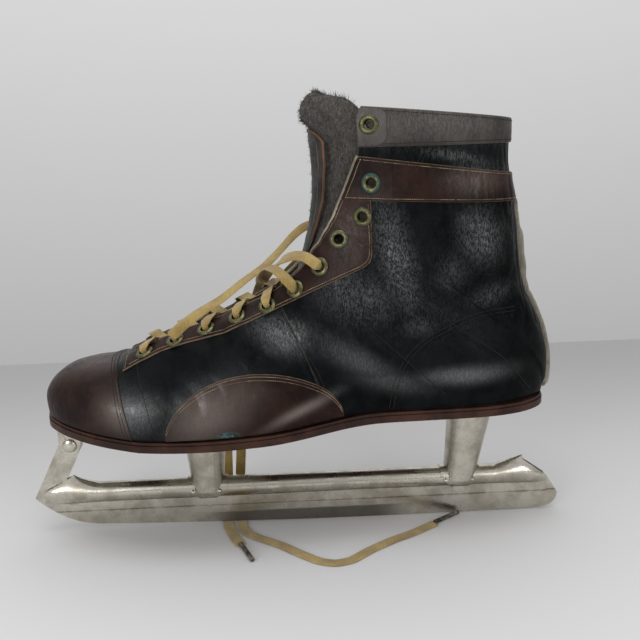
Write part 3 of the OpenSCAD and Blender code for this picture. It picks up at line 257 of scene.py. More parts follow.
OXBLOOD = leather("oxblood_leather", *OXBLOOD_COLORS, 0.38, (0.10, 0.068, 0.054), 0.4,
                  gloss=(0.07, 0.5), fine=0.6).material
SMOOTH_OXBLOOD = patch_leather()
BLACK = leather("black_leather", (0.0018, 0.0021, 0.0024), (0.0062, 0.0068, 0.0076), (0.10, 0.09, 0.08),
                0.36, (0.070, 0.076, 0.079), 0.3, gloss=(0.03, 0.85), fine=0.12).material
FADED = leather("faded_leather", (0.021, 0.0175, 0.0155), (0.050, 0.0425, 0.0375), (0.16, 0.14, 0.115),
                0.46, (0.132, 0.118, 0.106), 0.35, 1.1, gloss=(0.2, 0.3), fine=0.3).material
PALE = leather("pale_leather", (0.036, 0.032, 0.029), (0.075, 0.067, 0.060), (0.03, 0.026, 0.022), 0.5,
               (0.15, 0.135, 0.122), 0.3, 1.1, gloss=(0.2, 0.3), fine=0.4).material
print("leathers:", [paint.name for paint in (BLACK, OXBLOOD, SMOOTH_OXBLOOD, FADED, PALE)])

# %% [markdown]
# ## Lining canvas and back webbing
# Both are plain weaves, gone brown with age. Threads could be modelled one by one, but they are finer than
# a pixel at this distance. Two crossed wave textures give them as colour and bump, with dirt over them.

# %% Woven cloth
def cloth(name, dark, light, weave, bump_depth):
    """Plain woven cloth: two crossed sets of threads and some dirt."""
    paint = Paint(name, dark, 0.9)
    sets = []
    for way in ("X", "Z"):
        sets.append(paint.node("ShaderNodeTexWave", "Fac", {"bands_direction": way},
                               Vector=paint.scaled([weave] * 3), Scale=0.32, Distortion=0.6, Detail=1.0))
    threads = paint.math("MULTIPLY", *sets)
    dirt = paint.noise(9, 5, 0.65)
    color = paint.blend(paint.span(dirt, 0.3, 0.7), dark, light)
    paint.set("Base Color", paint.blend(paint.math("MULTIPLY", threads, 0.35), color, light))
    paint.set("Sheen Weight", 0.3)
    paint.set("Normal", paint.bump(threads, bump_depth, 0.7))
    return paint.material


CANVAS = cloth("lining_canvas", (0.070, 0.056, 0.042), (0.15, 0.125, 0.097), 1.0, 0.3)
WEBBING = cloth("back_webbing", (0.135, 0.118, 0.090), (0.29, 0.26, 0.205), 1.4, 0.4)
print("cloths:", CANVAS.name, "and", WEBBING.name)

# %% [markdown]
# ## The boot last
# A last is the wooden form that a shoemaker pulls the leather over. It could be sculpted, or lofted by
# hand between curves. Here it is a table of lines and a formula, the same as in the solids, so both models
# share one shape and every piece can be laid out on it by number. A place has two coordinates: t counts
# the lines from the toe to the collar, and q runs across a line from the crest, 0, to the sole edge or the
# back seam, 1 on the near side and -1 on the far side. All of this is in millimetres.

# %% Lines of the last
# The sole: its height under the ball, the heel's rise over the arch, the toe's slope and where that starts
BALL_Z = 64.5
HEEL_RISE = 7.5
ARCH = (-20, 50)
TOE_SPRING = math.tan(math.radians(5.5))
TOE_BREAK = -86
# The sole's thickness, the gap between it and the leather, and the height of the foot on it
SOLE_T = 5.6
SKIN_GAP = 0.15
FOOT_Z = BALL_Z + SOLE_T
# How far the toe swings to one side, from where, and over which length
TOE_SWING = 5
SWING_FROM = -60
SWING_LEN = 86.5
# The lines at the collar and at the back of the heel, and how near the leather comes to the sole edge
COLLAR_T = 27
HEEL_T = 18
EDGE_Q = 0.995
# Crest x, height and fullness, edge x, half width and height, wall height, lean, turn and heading
LAST = np.array([
    [-146, 12, 0.8, -145, 0.8, 0, 3, 0.5, 0, 0], [-144.2, 20, 7.5, -142.5, 9.5, 0, 8, 1.5, 0, 0],
    [-138.5, 27.5, 15, -137, 17.5, 0, 14, 2.5, 0, 0], [-129, 33.5, 23, -128, 25.8, 0, 18, 3.5, 0, 0],
    [-117, 36, 30, -116.5, 33, 0, 20, 4.5, 0, 0], [-104, 37, 32, -104, 38.2, 0, 21, 5, 0, 0],
    [-92, 41.5, 31, -91, 41.6, 0, 22, 5, 0, 0], [-76, 48.5, 29, -75, 44.3, 0, 24, 5, 0, 0],
    [-56, 56, 28, -55, 45.3, 0, 27, 4, 0, 0], [-34, 64.5, 27, -33, 43.5, 0, 30, 3, 0, 0],
    [-17, 73, 28, -8, 38.5, 0, 34, 3, 0, 0], [-4, 82.5, 31, 20, 34.6, 0, 39, 5, 0, 0],
    [4, 93.5, 34, 52, 32.2, 0, 44, 8, 0, 0], [7.5, 104, 36, 84, 31.5, 0, 48, 9.5, 0, 2],
    [8.8, 111.5, 39, 110, 28.8, 0, 52, 11, 6, 12], [9.4, 116.5, 40, 129, 21.8, 0, 54, 12, 18, 32],
    [9.7, 120.5, 40, 139, 14.2, 0, 58, 8, 34, 50], [9.9, 124, 39.5, 144.3, 7.2, 0, 59.4, 4.5, 43, 70],
    [10, 127, 38.5, 146.2, 0, 0, 64, 3, 50, 90], [10, 131, 37, 148.3, 0, 12, 55, 1, 66, 90],
    [10, 135, 35.5, 147.5, 0, 27, 54, 0, 80, 90], [10, 139.5, 34, 142, 0, 46, 55.5, 0, 90, 90],
    [10, 144.5, 32, 134, 0, 64, 58, 0, 90, 90], [10, 150, 31, 130, 0, 82, 60, 0, 90, 90],
    [10, 156, 30, 128, 0, 100, 61, 0, 90, 90], [10, 162, 30, 125.5, 0, 118, 61, 0, 90, 90],
    [10, 168.5, 30, 123, 0, 138, 61, 0, 90, 90], [10, 176, 30, 122.5, 0, 157, 61, 0, 90, 90],
])
print("lines of the last:", len(LAST))


# %% Helpers for lines
def ease(u):
    """A slow start and a slow stop between 0 and 1."""
    return (1 - np.cos(np.pi * np.clip(u, 0, 1))) / 2


def smooth(u):
    """Smoothstep between 0 and 1."""
    u = np.clip(u, 0, 1)
    return u * u * (3 - 2 * u)


def mix(a, b, u):
    """From a to b by a share."""
    return a + (b - a) * u


def unit(v):
    """Directions at length 1."""
    return v / np.linalg.norm(v, axis=-1, keepdims=True)


def resample(points, step):
    """Points at an even distance along a line of points."""
    points = np.asarray(points, float)
    runs = np.concatenate([[0], np.cumsum(np.linalg.norm(np.diff(points, axis=0), axis=1))])
    places = np.linspace(0, runs[-1], max(2, round(runs[-1] / step) + 1))
    return np.stack([np.interp(places, runs, column) for column in points.T], -1)


def soften(points, reach):
    """Round the corners of evenly spaced points, with the ends kept. reach counts points."""
    half = int(3 * reach) + 1
    weights = np.exp(-0.5 * (np.arange(-half, half + 1) / reach) ** 2)
    weights /= weights.sum()
    points = np.asarray(points, float)
    before = 2 * points[0] - points[np.clip(np.arange(half, 0, -1), 0, len(points) - 1)]
    after = 2 * points[-1] - points[np.clip(len(points) - 2 - np.arange(half), 0, len(points) - 1)]
    padded = np.concatenate([before, points, after])
    return np.stack([np.convolve(column, weights, "valid") for column in padded.T], -1)


def row_at(rows, t):
    """A smooth row through a list of rows, at places counted in rows."""
    last = len(rows) - 1
    t = np.asarray(t, float)
    k = np.clip(np.floor(t).astype(int), 0, last - 1)
    u = (t - k)[..., None]
    b, c = rows[k], rows[k + 1]
    a = np.where((k > 0)[..., None], rows[np.maximum(k - 1, 0)], 2 * b - c)
    d = np.where((k < last - 1)[..., None], rows[np.minimum(k + 2, last)], 2 * c - b)
    square, cube = 2 * a - 5 * b + 4 * c - d, 3 * b - a - 3 * c + d
    return 0.5 * (2 * b + (c - a) * u + square * u ** 2 + cube * u ** 3)


print("crest height halfway up:", row_at(LAST, 13.5)[1].round(1))


# %% Points on the last
def sole_z(x):
    """Height of the sole's underside: toe spring in front, heel rise behind."""
    arch = ease((x - ARCH[0]) / (ARCH[1] - ARCH[0]))
    return BALL_Z + np.maximum(0, TOE_BREAK - x) * TOE_SPRING + HEEL_RISE * arch


def swing(x):
    """How far the toe swings to one side, as a foot does."""
    return TOE_SWING * (np.maximum(0, SWING_FROM - x) / SWING_LEN) ** 2


def half_line(t, q):
    """A point on the near half of the last, before the toe's swing."""
    r = np.moveaxis(row_at(LAST, t), -1, 0)
    turn, heading = np.radians(r[8]), np.radians(r[9])
    zero = np.zeros_like(r[0])
    crest = np.stack([r[0], zero, FOOT_Z + r[1]], -1)
    edge = np.stack([r[3], -np.maximum(0, r[4]), sole_z(r[3]) + SOLE_T + SKIN_GAP + r[5]], -1)
    side = r[6] * np.sin(turn)
    wall = np.stack([
        r[7] * np.sin(heading) - side * np.cos(heading),
        -r[7] * np.cos(heading) - side * np.sin(heading),
        r[6] * np.cos(turn),
    ], -1)
    u = np.asarray(q, float)[..., None]
    full = crest + np.stack([zero, -r[2], zero], -1)
    return (crest * (1 - u) ** 3 + full * 3 * u * (1 - u) ** 2
            + (edge + wall) * 3 * u ** 2 * (1 - u) + edge * u ** 3)


def last_point(t, q):
    """A point on the last, on either side."""
    t, q = np.broadcast_arrays(np.asarray(t, float), np.asarray(q, float))
    p = half_line(t, np.abs(q))
    side = np.where(q < 0, -1, 1)
    return np.stack([p[..., 0], p[..., 1] * side + swing(p[..., 0]), p[..., 2]], -1)


# A small step in t or q, to feel how the last runs
PROBE = 0.02


def along_t(t, q):
    """The way from line to line."""
    return last_point(t + PROBE, q) - last_point(t - PROBE, q)


def outward(t, q):
    """The way straight out of the last."""
    across = last_point(t, q + PROBE) - last_point(t, q - PROBE)
    return unit(np.cross(across, along_t(t, q)))


def bisect(f, low, high, steps=26):
    """Where a falling or rising function reaches zero, for many places at once."""
    low, high = np.array(low, float), np.array(high, float)
    start = f(low) < 0
    for _ in range(steps):
        middle = (low + high) / 2
        same = (f(middle) < 0) == start
        low, high = np.where(same, middle, low), np.where(same, high, middle)
    return (low + high) / 2


print("toe of the last at", last_point(0, 0).round(1))

# %% [markdown]
# ## The throat
# The throat is the opening that the laces close. Its edge is worn straight at the ankle and rounded at the
# collar. It could be cut with a boolean, but all the pieces beside it need the same edge. So it is solved
# once, on many lines of the last, and looked up after that.

# %% Throat edge
# Half widths of the throat, the heights on the crest between which it widens, and how early
THROAT = {"low": 8, "top": 26, "from": 66, "to": 156, "flare": 0.78}
LINES = np.linspace(0, COLLAR_T + 0.1, 700)


def on_lines(places):
    """A place on every line of the last, looked up instead of solved again."""
    return lambda t: np.interp(t, LINES, places)


rise = np.clip((row_at(LAST, LINES)[:, 1] - THROAT["from"]) / (THROAT["to"] - THROAT["from"]), 0, 1)
throat_half = mix(THROAT["low"], THROAT["top"], rise ** THROAT["flare"])
throat_q = on_lines(bisect(lambda q: -half_line(LINES, q)[:, 1] - throat_half, 0 * LINES, 0.6 + 0 * LINES))
# The throat edge at the ankle as worn, seen from the side as x and z
ANKLE_EDGE = np.array([
    [8.8, 165.2], [16.6, 171.8], [22.3, 181.7], [27.9, 194.7], [33.5, 208.3], [37.2, 219], [39, 228],
])
# The collar's rounded corner: where it starts above the foot, and its radius
CORNER_Z, CORNER_R = 166.0, 10.3


def worn_edge():
    """The throat edge as worn: a straighter line up the ankle than the solids have, and a rounded collar."""
    even = np.linspace(0, COLLAR_T + 0.1, 272)

    def behind(q):
        p = half_line(even, q)
        return p[:, 0] - np.interp(p[:, 2], ANKLE_EDGE[:, 1], ANKLE_EDGE[:, 0])

    line = bisect(behind, 0 * even + 0.01, 0 * even + 0.6)
    z = half_line(even, throat_q(even))[:, 2]
    share = smooth((z - 163) / 9) * (1 - smooth((z - 212) / 14))
    places = mix(throat_q(even), np.minimum(line, throat_q(even)), share)
    height = half_line(even, places)[:, 2] - (FOOT_Z + CORNER_Z)
    corner = CORNER_R - np.sqrt(np.maximum(0, CORNER_R ** 2 - np.clip(height, 0, CORNER_R) ** 2))
    pace = np.linalg.norm(half_line(even, places + 0.01) - half_line(even, places), axis=-1) / 0.01
    return lambda t: np.interp(t, even, places + corner / pace)


edge_q = worn_edge()
print("throat edge at the ankle:", half_line(20.0, edge_q(20.0)).round(1))

# %% [markdown]
# ## Cutting patterns
# A cutter lays patterns on the hide: toe cap, vamp, quarters, facings, patches and bands. A plane could be
# shrink-wrapped onto the boot for each, but its edges would not meet the next piece's seam so exactly. Here
# a pattern is a function from two shares, i and j from 0 to 1, to t and q on the last. The far side mirrors
# the near side.

# %% Pattern helpers
NEAR, FAR = 1, -1
# The bands' front and back ends, where their heights are given
BAND_X = (35, 124)


def down_q(t, reach):
    """The place at a straight distance down from the throat edge."""
    t = np.asarray(t, float)
    start = throat_q(t)
    edge = half_line(t, start)
    gone = lambda q: np.linalg.norm(half_line(t, q) - edge, axis=-1) - reach
    return bisect(gone, start, np.ones_like(t))


def line_t(across, heights):
    """The line of the last where a side line is crossed. heights are above the foot, at both ends of the
    bands."""
    def above(t):
        p = half_line(t, across(t))
        share = (p[..., 0] - BAND_X[0]) / (BAND_X[1] - BAND_X[0])
        return p[..., 2] - FOOT_Z - mix(heights[0], heights[1], share)
    shape = np.zeros_like(across(np.array(20.0)))
    return bisect(above, shape + 12, shape + COLLAR_T)


def on_side(side, region):
    """The same region on the near or the far side."""
    def place(i, j):
        t, q = region(i, j if side == NEAR else 1 - j)
        return t, side * q
    return place


print("a band's height at the front:", line_t(edge_q, (125, 121)).round(2), "lines up")

# %% Patterns of the foot
# The toe cap's last line and its slant, and the vamp's seams, in lines of the last
CAP_T, CAP_SLANT = 5.2, 0.9
VAMP_T, SEAM_TOP_T, SEAM_LOW_T = 6.5, 10.4, 10.9
# How much of the vamp's width lies in front of the throat
FRONT_SHARE = 0.375
# A side patch is half an ellipse: its middle, half length, height and lower edge
PATCH = {"x": -22, "half": 49, "height": 34, "low": 0.985}


def cap_line(q):
    """The toe cap's rear edge."""
    return CAP_T + CAP_SLANT * np.abs(q)


def cap_map(i, j):
    q = EDGE_Q * (2 * j - 1)
    return cap_line(q) * i, q


def vamp_map(i, j):
    v = 2 * j - 1
    a = np.abs(v)
    front = np.minimum(a / FRONT_SHARE, 1)
    back = np.clip((a - FRONT_SHARE) / (1 - FRONT_SHARE), 0, 1)
    outer_q = EDGE_Q * front
    outer_t = mix(cap_line(outer_q) + 0.015, SEAM_LOW_T, back)
    inner_t = mix(VAMP_T, SEAM_TOP_T, back)
    inner_q = edge_q(inner_t) * front
    return mix(outer_t, inner_t, i), mix(outer_q, inner_q, i) * np.sign(v)


def patch_map(i, j):
    u = mix(-0.985, 0.985, i)
    t = np.interp(PATCH["x"] + u * PATCH["half"], LAST[:HEEL_T + 1, 3], np.arange(HEEL_T + 1))
    top = half_line(t, np.ones_like(t))[..., 2] + PATCH["height"] * np.sqrt(1 - u ** 2)
    q = bisect(lambda q: half_line(t, q)[..., 2] - top, np.full_like(t, 0.3), np.ones_like(t))
    return t, mix(q, PATCH["low"], j)


print("toe cap ends at", last_point(cap_line(0.0), 0.0).round(1))

# %% Patterns of the shaft
# The facing's first line, rear edge and lower edge, seen from the side as x and height above the foot
FACING_T0 = 5.75
FACING_BACK_X = 44
FACING_EDGE = np.array([[-100, 33], [-86, 39], [-71, 47], [-40, 53], [-9, 66], [16, 78.5], [60, 98]])
FACING_LINE = soften(resample(FACING_EDGE, 2.0), 6)
FACING_CORNER = 2.2
# Heights of the bands' edges above the foot, in front and behind. TOP_HIGH is out of reach, so the top band
# ends at the collar
ANKLE_LOW, ANKLE_HIGH = (125, 121), (148, 136)
TOP_LOW, TOP_HIGH = (152, 152), (344, 344)
STAY_HALF = 7


def quarter_map(i, j):
    t = mix(mix(SEAM_TOP_T, SEAM_LOW_T, j) + 0.01, COLLAR_T, i)
    return t, mix(edge_q(t), EDGE_Q + (1 - EDGE_Q) * np.clip(t - HEEL_T + 1, 0, 1), j)


def inside_facing(q):
    """Above the facing's lower edge and ahead of its rear edge, with the corner between them rounded."""
    p = half_line(LINES, q)
    above = p[:, 2] - FOOT_Z - np.interp(p[:, 0], FACING_LINE[:, 0], FACING_LINE[:, 1])
    ahead = FACING_BACK_X - p[:, 0]
    return -FACING_CORNER * np.logaddexp(-above / FACING_CORNER, -ahead / FACING_CORNER)


facing_q = on_lines(bisect(inside_facing, throat_q(LINES), 1 + 0 * LINES))


def facing_map(i, j):
    across = lambda t: mix(edge_q(t + 0 * j), facing_q(t + 0 * j), j)
    t = mix(FACING_T0, line_t(across, ANKLE_LOW), i)
    return t, across(t)


def band_map(low, high):
    """A pattern between two heights, from the throat to the back seam."""
    def place(i, j):
        across = lambda t: mix(edge_q(t + 0 * j), 1, j)
        t = mix(line_t(across, low), line_t(across, high), i)
        return t, across(t)
    return place


ankle_map = band_map(ANKLE_LOW, ANKLE_HIGH)
top_map = band_map(TOP_LOW, TOP_HIGH)
COLLAR_TAB = 0.14


def collar_tab_map(i, j):
    """The rounded end piece on the front of the top band."""
    reach = COLLAR_TAB * (1 - np.abs(2 * i - 1) ** 4).clip(0) ** 0.25
    return top_map(mix(0.02, 0.98, i), 0.004 + j * reach)


def stay_map(i, j):
    t = mix(HEEL_T + 0.12, line_t(lambda t: np.ones_like(t), ANKLE_LOW), i)
    wall = row_at(LAST, t)[..., 6]
    v = (2 * j - 1) * STAY_HALF / (3 * wall)
    return t, np.where(v <= 0, 1 + v, v - 1)


print("patterns are ready; the stay's top line is", stay_map(1.0, 0.5)[0].round(1))

# %% [markdown]
# ## Eyelet places
# Ten eyelets run evenly along each facing, and one sits higher up on the collar. They could be set by eye.
# They are measured off along the facing instead, as with dividers, so a change of the pitch moves them all.

# %% Eyelet places
EYELET = {"setback": 9.5, "top_setback": 7.0, "pitch": 18.5, "first": 9.5, "top_step": 30.0, "row": 10}
row_t = np.arange(6, COLLAR_T + 0.1, 0.5)
row_points = half_line(row_t, down_q(row_t, EYELET["setback"])) + 0
row_points[:, 1] += swing(row_points[:, 0])
row_runs = np.concatenate([[0], np.cumsum(np.linalg.norm(np.diff(row_points, axis=0), axis=1))])
eyelet_runs = EYELET["first"] + EYELET["pitch"] * np.arange(EYELET["row"] + 1.0)
eyelet_runs[-1] = eyelet_runs[-2] + EYELET["top_step"]
eyelet_ts = np.interp(eyelet_runs, row_runs, row_t)
setbacks = np.where(np.arange(len(eyelet_ts)) < EYELET["row"], EYELET["setback"], EYELET["top_setback"])
eyelet_qs = down_q(eyelet_ts, setbacks)
eyelet_points = np.concatenate([last_point(eyelet_ts, side * eyelet_qs) for side in (NEAR, FAR)])
print("eyelets:", len(eyelet_points), "first near one at", eyelet_points[0].round(1))

# %% [markdown]
# ## Creases and seams
# Worn leather isn't smooth. Sculpt brushes could press its folds in by hand. One relief field is used
# instead, because it moves all layers of the upper in and out together, so that none breaks through
# another. It holds soft waves, upright wrinkles round the ankle, folds across the vamp and a groove with a
# step along each seam. It fades out at the eyelets and at the sole, where the leather is held.

# %% Seams, folds and bulges
# Seams seen from the side, as x and z
SEAMS = {
    "counter": [
        [55.5, 80], [57, 92], [61.5, 104.8], [71.5, 116.2], [87.9, 124.5], [102.8, 128.9], [122, 130.5],
    ],
    "strap": [[44.7, 162.6], [74.6, 134.9], [87, 124.8], [113.9, 105.7], [132.7, 83]],
    "arch": [[28, 134.9], [46, 119.9], [71.5, 95.5], [81, 86.7]],
    "vamp": [[-8, 130.7], [1.6, 115.8], [10.7, 99.7], [15, 84]],
}
# Folds seen from the side: two ends, width and depth
FOLDS = [
    ([-62, 108], [-50, 84], 2.6, 1.0), ([-50, 112], [-40, 92], 2.2, 0.8), ([-36, 116], [-24, 96], 2.4, 0.8),
    ([-20, 122], [-6, 104], 2.6, 0.9), ([4, 122], [14, 96], 2.4, 0.8), ([22, 140], [40, 118], 3.0, 1.1),
    ([-4, 139], [10, 132], 2.0, 1.0), ([38, 178], [62, 168], 2.6, 1.0), ([60, 186], [84, 178], 2.4, 0.8),
    ([48, 156], [80, 150], 2.8, 1.0), ([92, 176], [118, 168], 2.6, 1.0), ([84, 160], [116, 152], 2.4, 0.9),
    ([26, 178], [40, 170], 1.8, 0.9), ([96, 140], [126, 142], 2.8, 0.8), ([30, 152], [52, 142], 2.2, 0.7),
]
# Soft swellings and hollows seen from the side: place, reach and height
BULGES = [
    (102, 96, 19, 1.8), (88, 168, 24, 1.5), (8, 116, 22, 1.3), (46, 120, 17, -1.6), (114, 138, 15, -1.4),
    (62, 192, 20, 1.2), (-48, 100, 14, 0.8), (-24, 83, 24, 1.5),
]
SEAM_LINES = {name: soften(resample(line, 1.0), 5) for name, line in SEAMS.items()}
print("seams:", ", ".join(SEAMS), "and", len(FOLDS), "folds")


# %% Relief helpers
def noise_at(points, size, stretch=(1, 1, 1), shift=0.0):
    """Soft noise between about -1 and 1, with lumps of a size in millimetres."""
    places = points / (size * np.array(stretch)) + shift
    return np.array([noise.noise(p) for p in places.reshape(-1, 3).tolist()]).reshape(points.shape[:-1])


def ridges(points, size, stretch, sharp, shift=0.0):
    """Thin lines of 1 between wide places of 0."""
    return (1 - np.abs(noise_at(points, size, stretch, shift))) ** sharp


def line_distance(flat, line):
    """The distance to a line and whether a place lies on its right."""
    gaps = ((flat[:, None, :] - line[None]) ** 2).sum(-1)
    nearest = gaps.argmin(1)
    ahead = np.gradient(line, axis=0)[nearest]
    aside = flat - line[nearest]
    turn = ahead[:, 0] * aside[:, 1] - ahead[:, 1] * aside[:, 0]
    return np.sqrt(gaps.min(1)), turn < 0


print("noise at the toe:", noise_at(last_point(0, 0), 27).round(3))

# %% Folds and pressed lines
# A seam's groove, its width, the step beside it, and the still leather round an eyelet
SEAM_DEPTH, SEAM_WIDTH = 0.5, 0.85
SEAM_STEP = 0.45
HOLD_R = 5.0


def soft_folds(points):
    """Waves all over, upright wrinkles round the ankle, and bends across the vamp but not on the patch."""
    x, y, z = points[..., 0], points[..., 1], points[..., 2]
    waves = 0.8 * noise_at(points, 27) + 0.24 * noise_at(points, 11, shift=7)
    ankle = smooth((x - 8) / 30) * smooth((z - 104) / 22) * (1 - smooth((z - 222) / 14))
    wrinkles = 0.62 * ankle * ridges(points, 5.5, (1, 1.6, 4.2), 6, 3)
    vamp = smooth((x + 86) / 12) * (1 - smooth((x - 20) / 25)) * smooth((z - 76) / 16)
    bends = 0.32 * vamp * ridges(points + np.stack([0.55 * z, 0 * y, 0 * z], -1), 7, (1, 3, 4), 7, 11)
    ring = np.hypot((x - PATCH["x"]) / PATCH["half"], (z - sole_z(x) - SOLE_T) / PATCH["height"])
    return waves - wrinkles - bends * smooth((ring - 0.98) / 0.15)


def pressed_lines(flat):
    """How deep seams and folds are pressed in, at places seen from the side."""
    dents = np.zeros(len(flat))
    for line in SEAM_LINES.values():
        away, past = line_distance(flat, line)
        dents += SEAM_DEPTH * np.exp(-(away / SEAM_WIDTH) ** 2)
        dents -= SEAM_STEP * past * np.exp(-away / 9)
    for start, end, width, depth in FOLDS:
        line = resample([start, end], 1.0)
        share = np.linspace(-1, 1, len(line))
        line[:, 0] += 1.6 * np.sin(3.1 * share + start[0])
        away = ((flat[:, None, :] - line[None]) ** 2).sum(-1)
        nearest = away.argmin(1)
        fade = 1 - share[nearest] ** 2
        dents += depth * fade * np.exp(-away.min(1) / width ** 2)
    return dents


print("a seam is pressed in by", pressed_lines(SEAM_LINES["arch"][20:21]).round(2), "mm")


# %% Relief
def free_share(points):
    """0 where the leather is held, at the eyelets and at the sole, and 1 away from them."""
    x, z = points[..., 0], points[..., 2]
    near_eyelet = np.full(x.shape, 99.0)
    for point in eyelet_points:
        near_eyelet = np.minimum(near_eyelet, np.linalg.norm(points - point, axis=-1))
    return smooth((near_eyelet - HOLD_R) / 6) * smooth((z - sole_z(x) - SOLE_T - 0.5) / 9)


def relief(points):
    """How far the skin stands out of the smooth last, in millimetres."""
    x, z = points[..., 0], points[..., 2]
    height = soft_folds(points)
    for at_x, at_z, reach, rise in BULGES:
        height = height + rise * np.exp(-((x - at_x) ** 2 + (z - at_z) ** 2) / reach ** 2)
    dents = pressed_lines(np.stack([x, z], -1).reshape(-1, 2))
    return (height - dents.reshape(x.shape)) * free_share(points)


def on_skin(t, q, depth):
    """Points and outward directions on the creased upper."""
    base, normal = last_point(t, q), outward(t, q)
    return base + normal * (depth + relief(base))[..., None], normal


print("relief at the ankle:", relief(last_point(22.0, 0.6)).round(2), "mm")

# %% [markdown]
# ## Rubbed places and painted highlights
# Where the boot was rubbed, its black skin shines, and it is painted grey there as a painted highlight: on
# the ankle, the heel, the folds of the vamp and the patch. Weight Paint would do for this. Listed ovals are
# used, because they can be read and moved one by one, and each piece of leather looks up its own points in
# the same list.

# %% Rubbed places and painted highlights
# Seen from the side: place, two reaches, slant in degrees and how much shine and painted highlight
WORN_AND_HIGHLIGHTED = [
    (56, 165, 31, 9, -76, 0.85), (102, 174, 14, 11, -69, 0.95), (36, 143, 22, 14, -22, 0.5),
    (93, 98, 23, 5, 2, 1.15), (-6, 124, 15, 8, -18, 1.1), (34, 109, 28, 7, -31, 0.6),
    (53, 96, 20, 6, -13, 0.55), (-91, 86, 17, 11, -3, 1.0), (108, 142, 14, 6, 13, 0.4),
    (86, 155, 11, 9, -90, 0.35), (68, 127, 11, 7, -2, 0.35), (-47, 85, 23, 14, 29, 1.0),
    (2, 83, 20, 3, 24, 1.2), (98, 204, 16, 8, -2, 0.8), (89, 216, 21, 3, -12, 0.6),
    (-109, 112, 19, 8, 18, 0.3), (-119, 94, 13, 14, -3, 0.05), (33, 178, 24, 12, -101, 0.45),
    (-22, 144, 27, 5, 26, 0.3), (75, 236, 52, 12, -3, 0.7), (38, 236, 9, 10, 0, 0.9),
    (62, 140, 55, 40, -20, 0.09),
]


def wear_and_highlight_at(points):
    """How far wear has polished the skin and how strong its painted highlight is, from 0 to about 1."""
    x, z = points[..., 0], points[..., 2]
    total = np.zeros(x.shape)
    for at_x, at_z, long, short, slant, most in WORN_AND_HIGHLIGHTED:
        turn = math.radians(slant)
        along = ((x - at_x) * math.cos(turn) + (z - at_z) * math.sin(turn)) / long
        aside = ((z - at_z) * math.cos(turn) - (x - at_x) * math.sin(turn)) / short
        total = np.maximum(total, most * np.exp(-1.2 * (along ** 2 + aside ** 2)))
    return total


print("rubbed places:", len(WORN_AND_HIGHLIGHTED))

# %% [markdown]
# ## Leather pieces
# Each piece is cut from leather about a millimetre thick. By hand it could be a plane with Shrinkwrap,
# Solidify and Bevel. Here it is a closed sheet: a grid on the outside, the same grid on the inside and
# walls between them. Its points come from the pattern and the relief, because modifiers would not keep the
# narrow steps at the rim that round its edge, or leave out the cells under an eyelet so that its bore is
# open. Leather on a last keeps the last's shape, so there is nothing for a cloth simulation to find.

# %% A closed sheet
def make(name, verts, faces, paint, slot, nodes=(), body="skate", marks=None):
    """An object from millimetre points, with its material, on a body, in place of some solids. slot is not
    used.
    """
    mesh = bpy.data.meshes.new(name + "_visual")
    mesh.from_pydata((np.asarray(verts) * MM).tolist(), [], [list(face) for face in faces])
    for key, values in (marks or {}).items():
        layer = mesh.attributes.new(key, "FLOAT", "POINT")
        layer.data.foreach_set("value", np.asarray(values, np.float32))
    obj = bpy.data.objects.new(name + "_visual", mesh)
    bpy.context.collection.objects.link(obj)
    mesh.materials.append(paint)
    bpy.ops.object.select_all(action="DESELECT")
    obj.select_set(True)
    bpy.context.view_layer.objects.active = obj
    bpy.ops.object.shade_smooth_by_angle(angle=math.radians(62))
    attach(obj, body)
    if nodes:
        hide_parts(*nodes)
    return obj


def spaced(count, first):
    """Shares from 0 to 1 with narrow steps at both ends."""
    return np.concatenate([[0, first], np.linspace(3 * first, 1 - 3 * first, count), [1 - first, 1]])


def sheet_faces(rows, columns, hidden=None):
    """Faces of a closed sheet of two grids. Cells in hidden are left out on both."""
    ids = np.arange(rows * columns).reshape(rows, columns)
    cells = np.stack([ids[:-1, :-1], ids[:-1, 1:], ids[1:, 1:], ids[1:, :-1]], -1)
    shown = cells[~hidden] if hidden is not None else cells.reshape(-1, 4)
    other = shown[:, ::-1] + rows * columns
    rim = np.concatenate([ids[0], ids[1:, -1], ids[-1, -2::-1], ids[-2:0:-1, 0]])
    after = np.roll(rim, -1)
    walls = np.stack([after, rim, rim + rows * columns, after + rows * columns], -1)
    return np.concatenate([shown, other, walls]).tolist(), rim


def sheet_piece(name, outer, inner, paint, slot, nodes=(), body="skate", hidden=None, worn=0.7):
    """A sheet between two grids, with its raw edges and its rubbed places, which also carry painted
    highlights, marked.
    """
    rows, columns = outer.shape[:2]
    faces, rim = sheet_faces(rows, columns, hidden)
    cut = np.zeros(2 * rows * columns)
    cut[rim] = worn
    cut[rim + rows * columns] = 1
    points = np.concatenate([outer.reshape(-1, 3), inner.reshape(-1, 3)])
    wear_and_highlight = np.concatenate([wear_and_highlight_at(outer).ravel(), np.zeros(rows * columns)])
    return make(name, points, faces, paint, slot, nodes, body, {"cut": cut, "wear_and_highlight": wear_and_highlight})


print("a sheet of 3 by 4 points has", len(sheet_faces(3, 4)[0]), "faces")

# %% Panels on the last
LEATHER_T = 1.0
# The bore that a piece leaves open under an eyelet
HOLE_R = 3.3


def edge_drop(shape, height):
    """How far the outer grid sinks at its rim, to round the edge."""
    drop = np.zeros(shape)
    drop[[1, -2], :] = 0.1 * height
    drop[:, [1, -2]] = np.maximum(drop[:, [1, -2]], 0.1 * height)
    drop[[0, -1], :] = 0.42 * height
    drop[:, [0, -1]] = 0.42 * height
    return drop


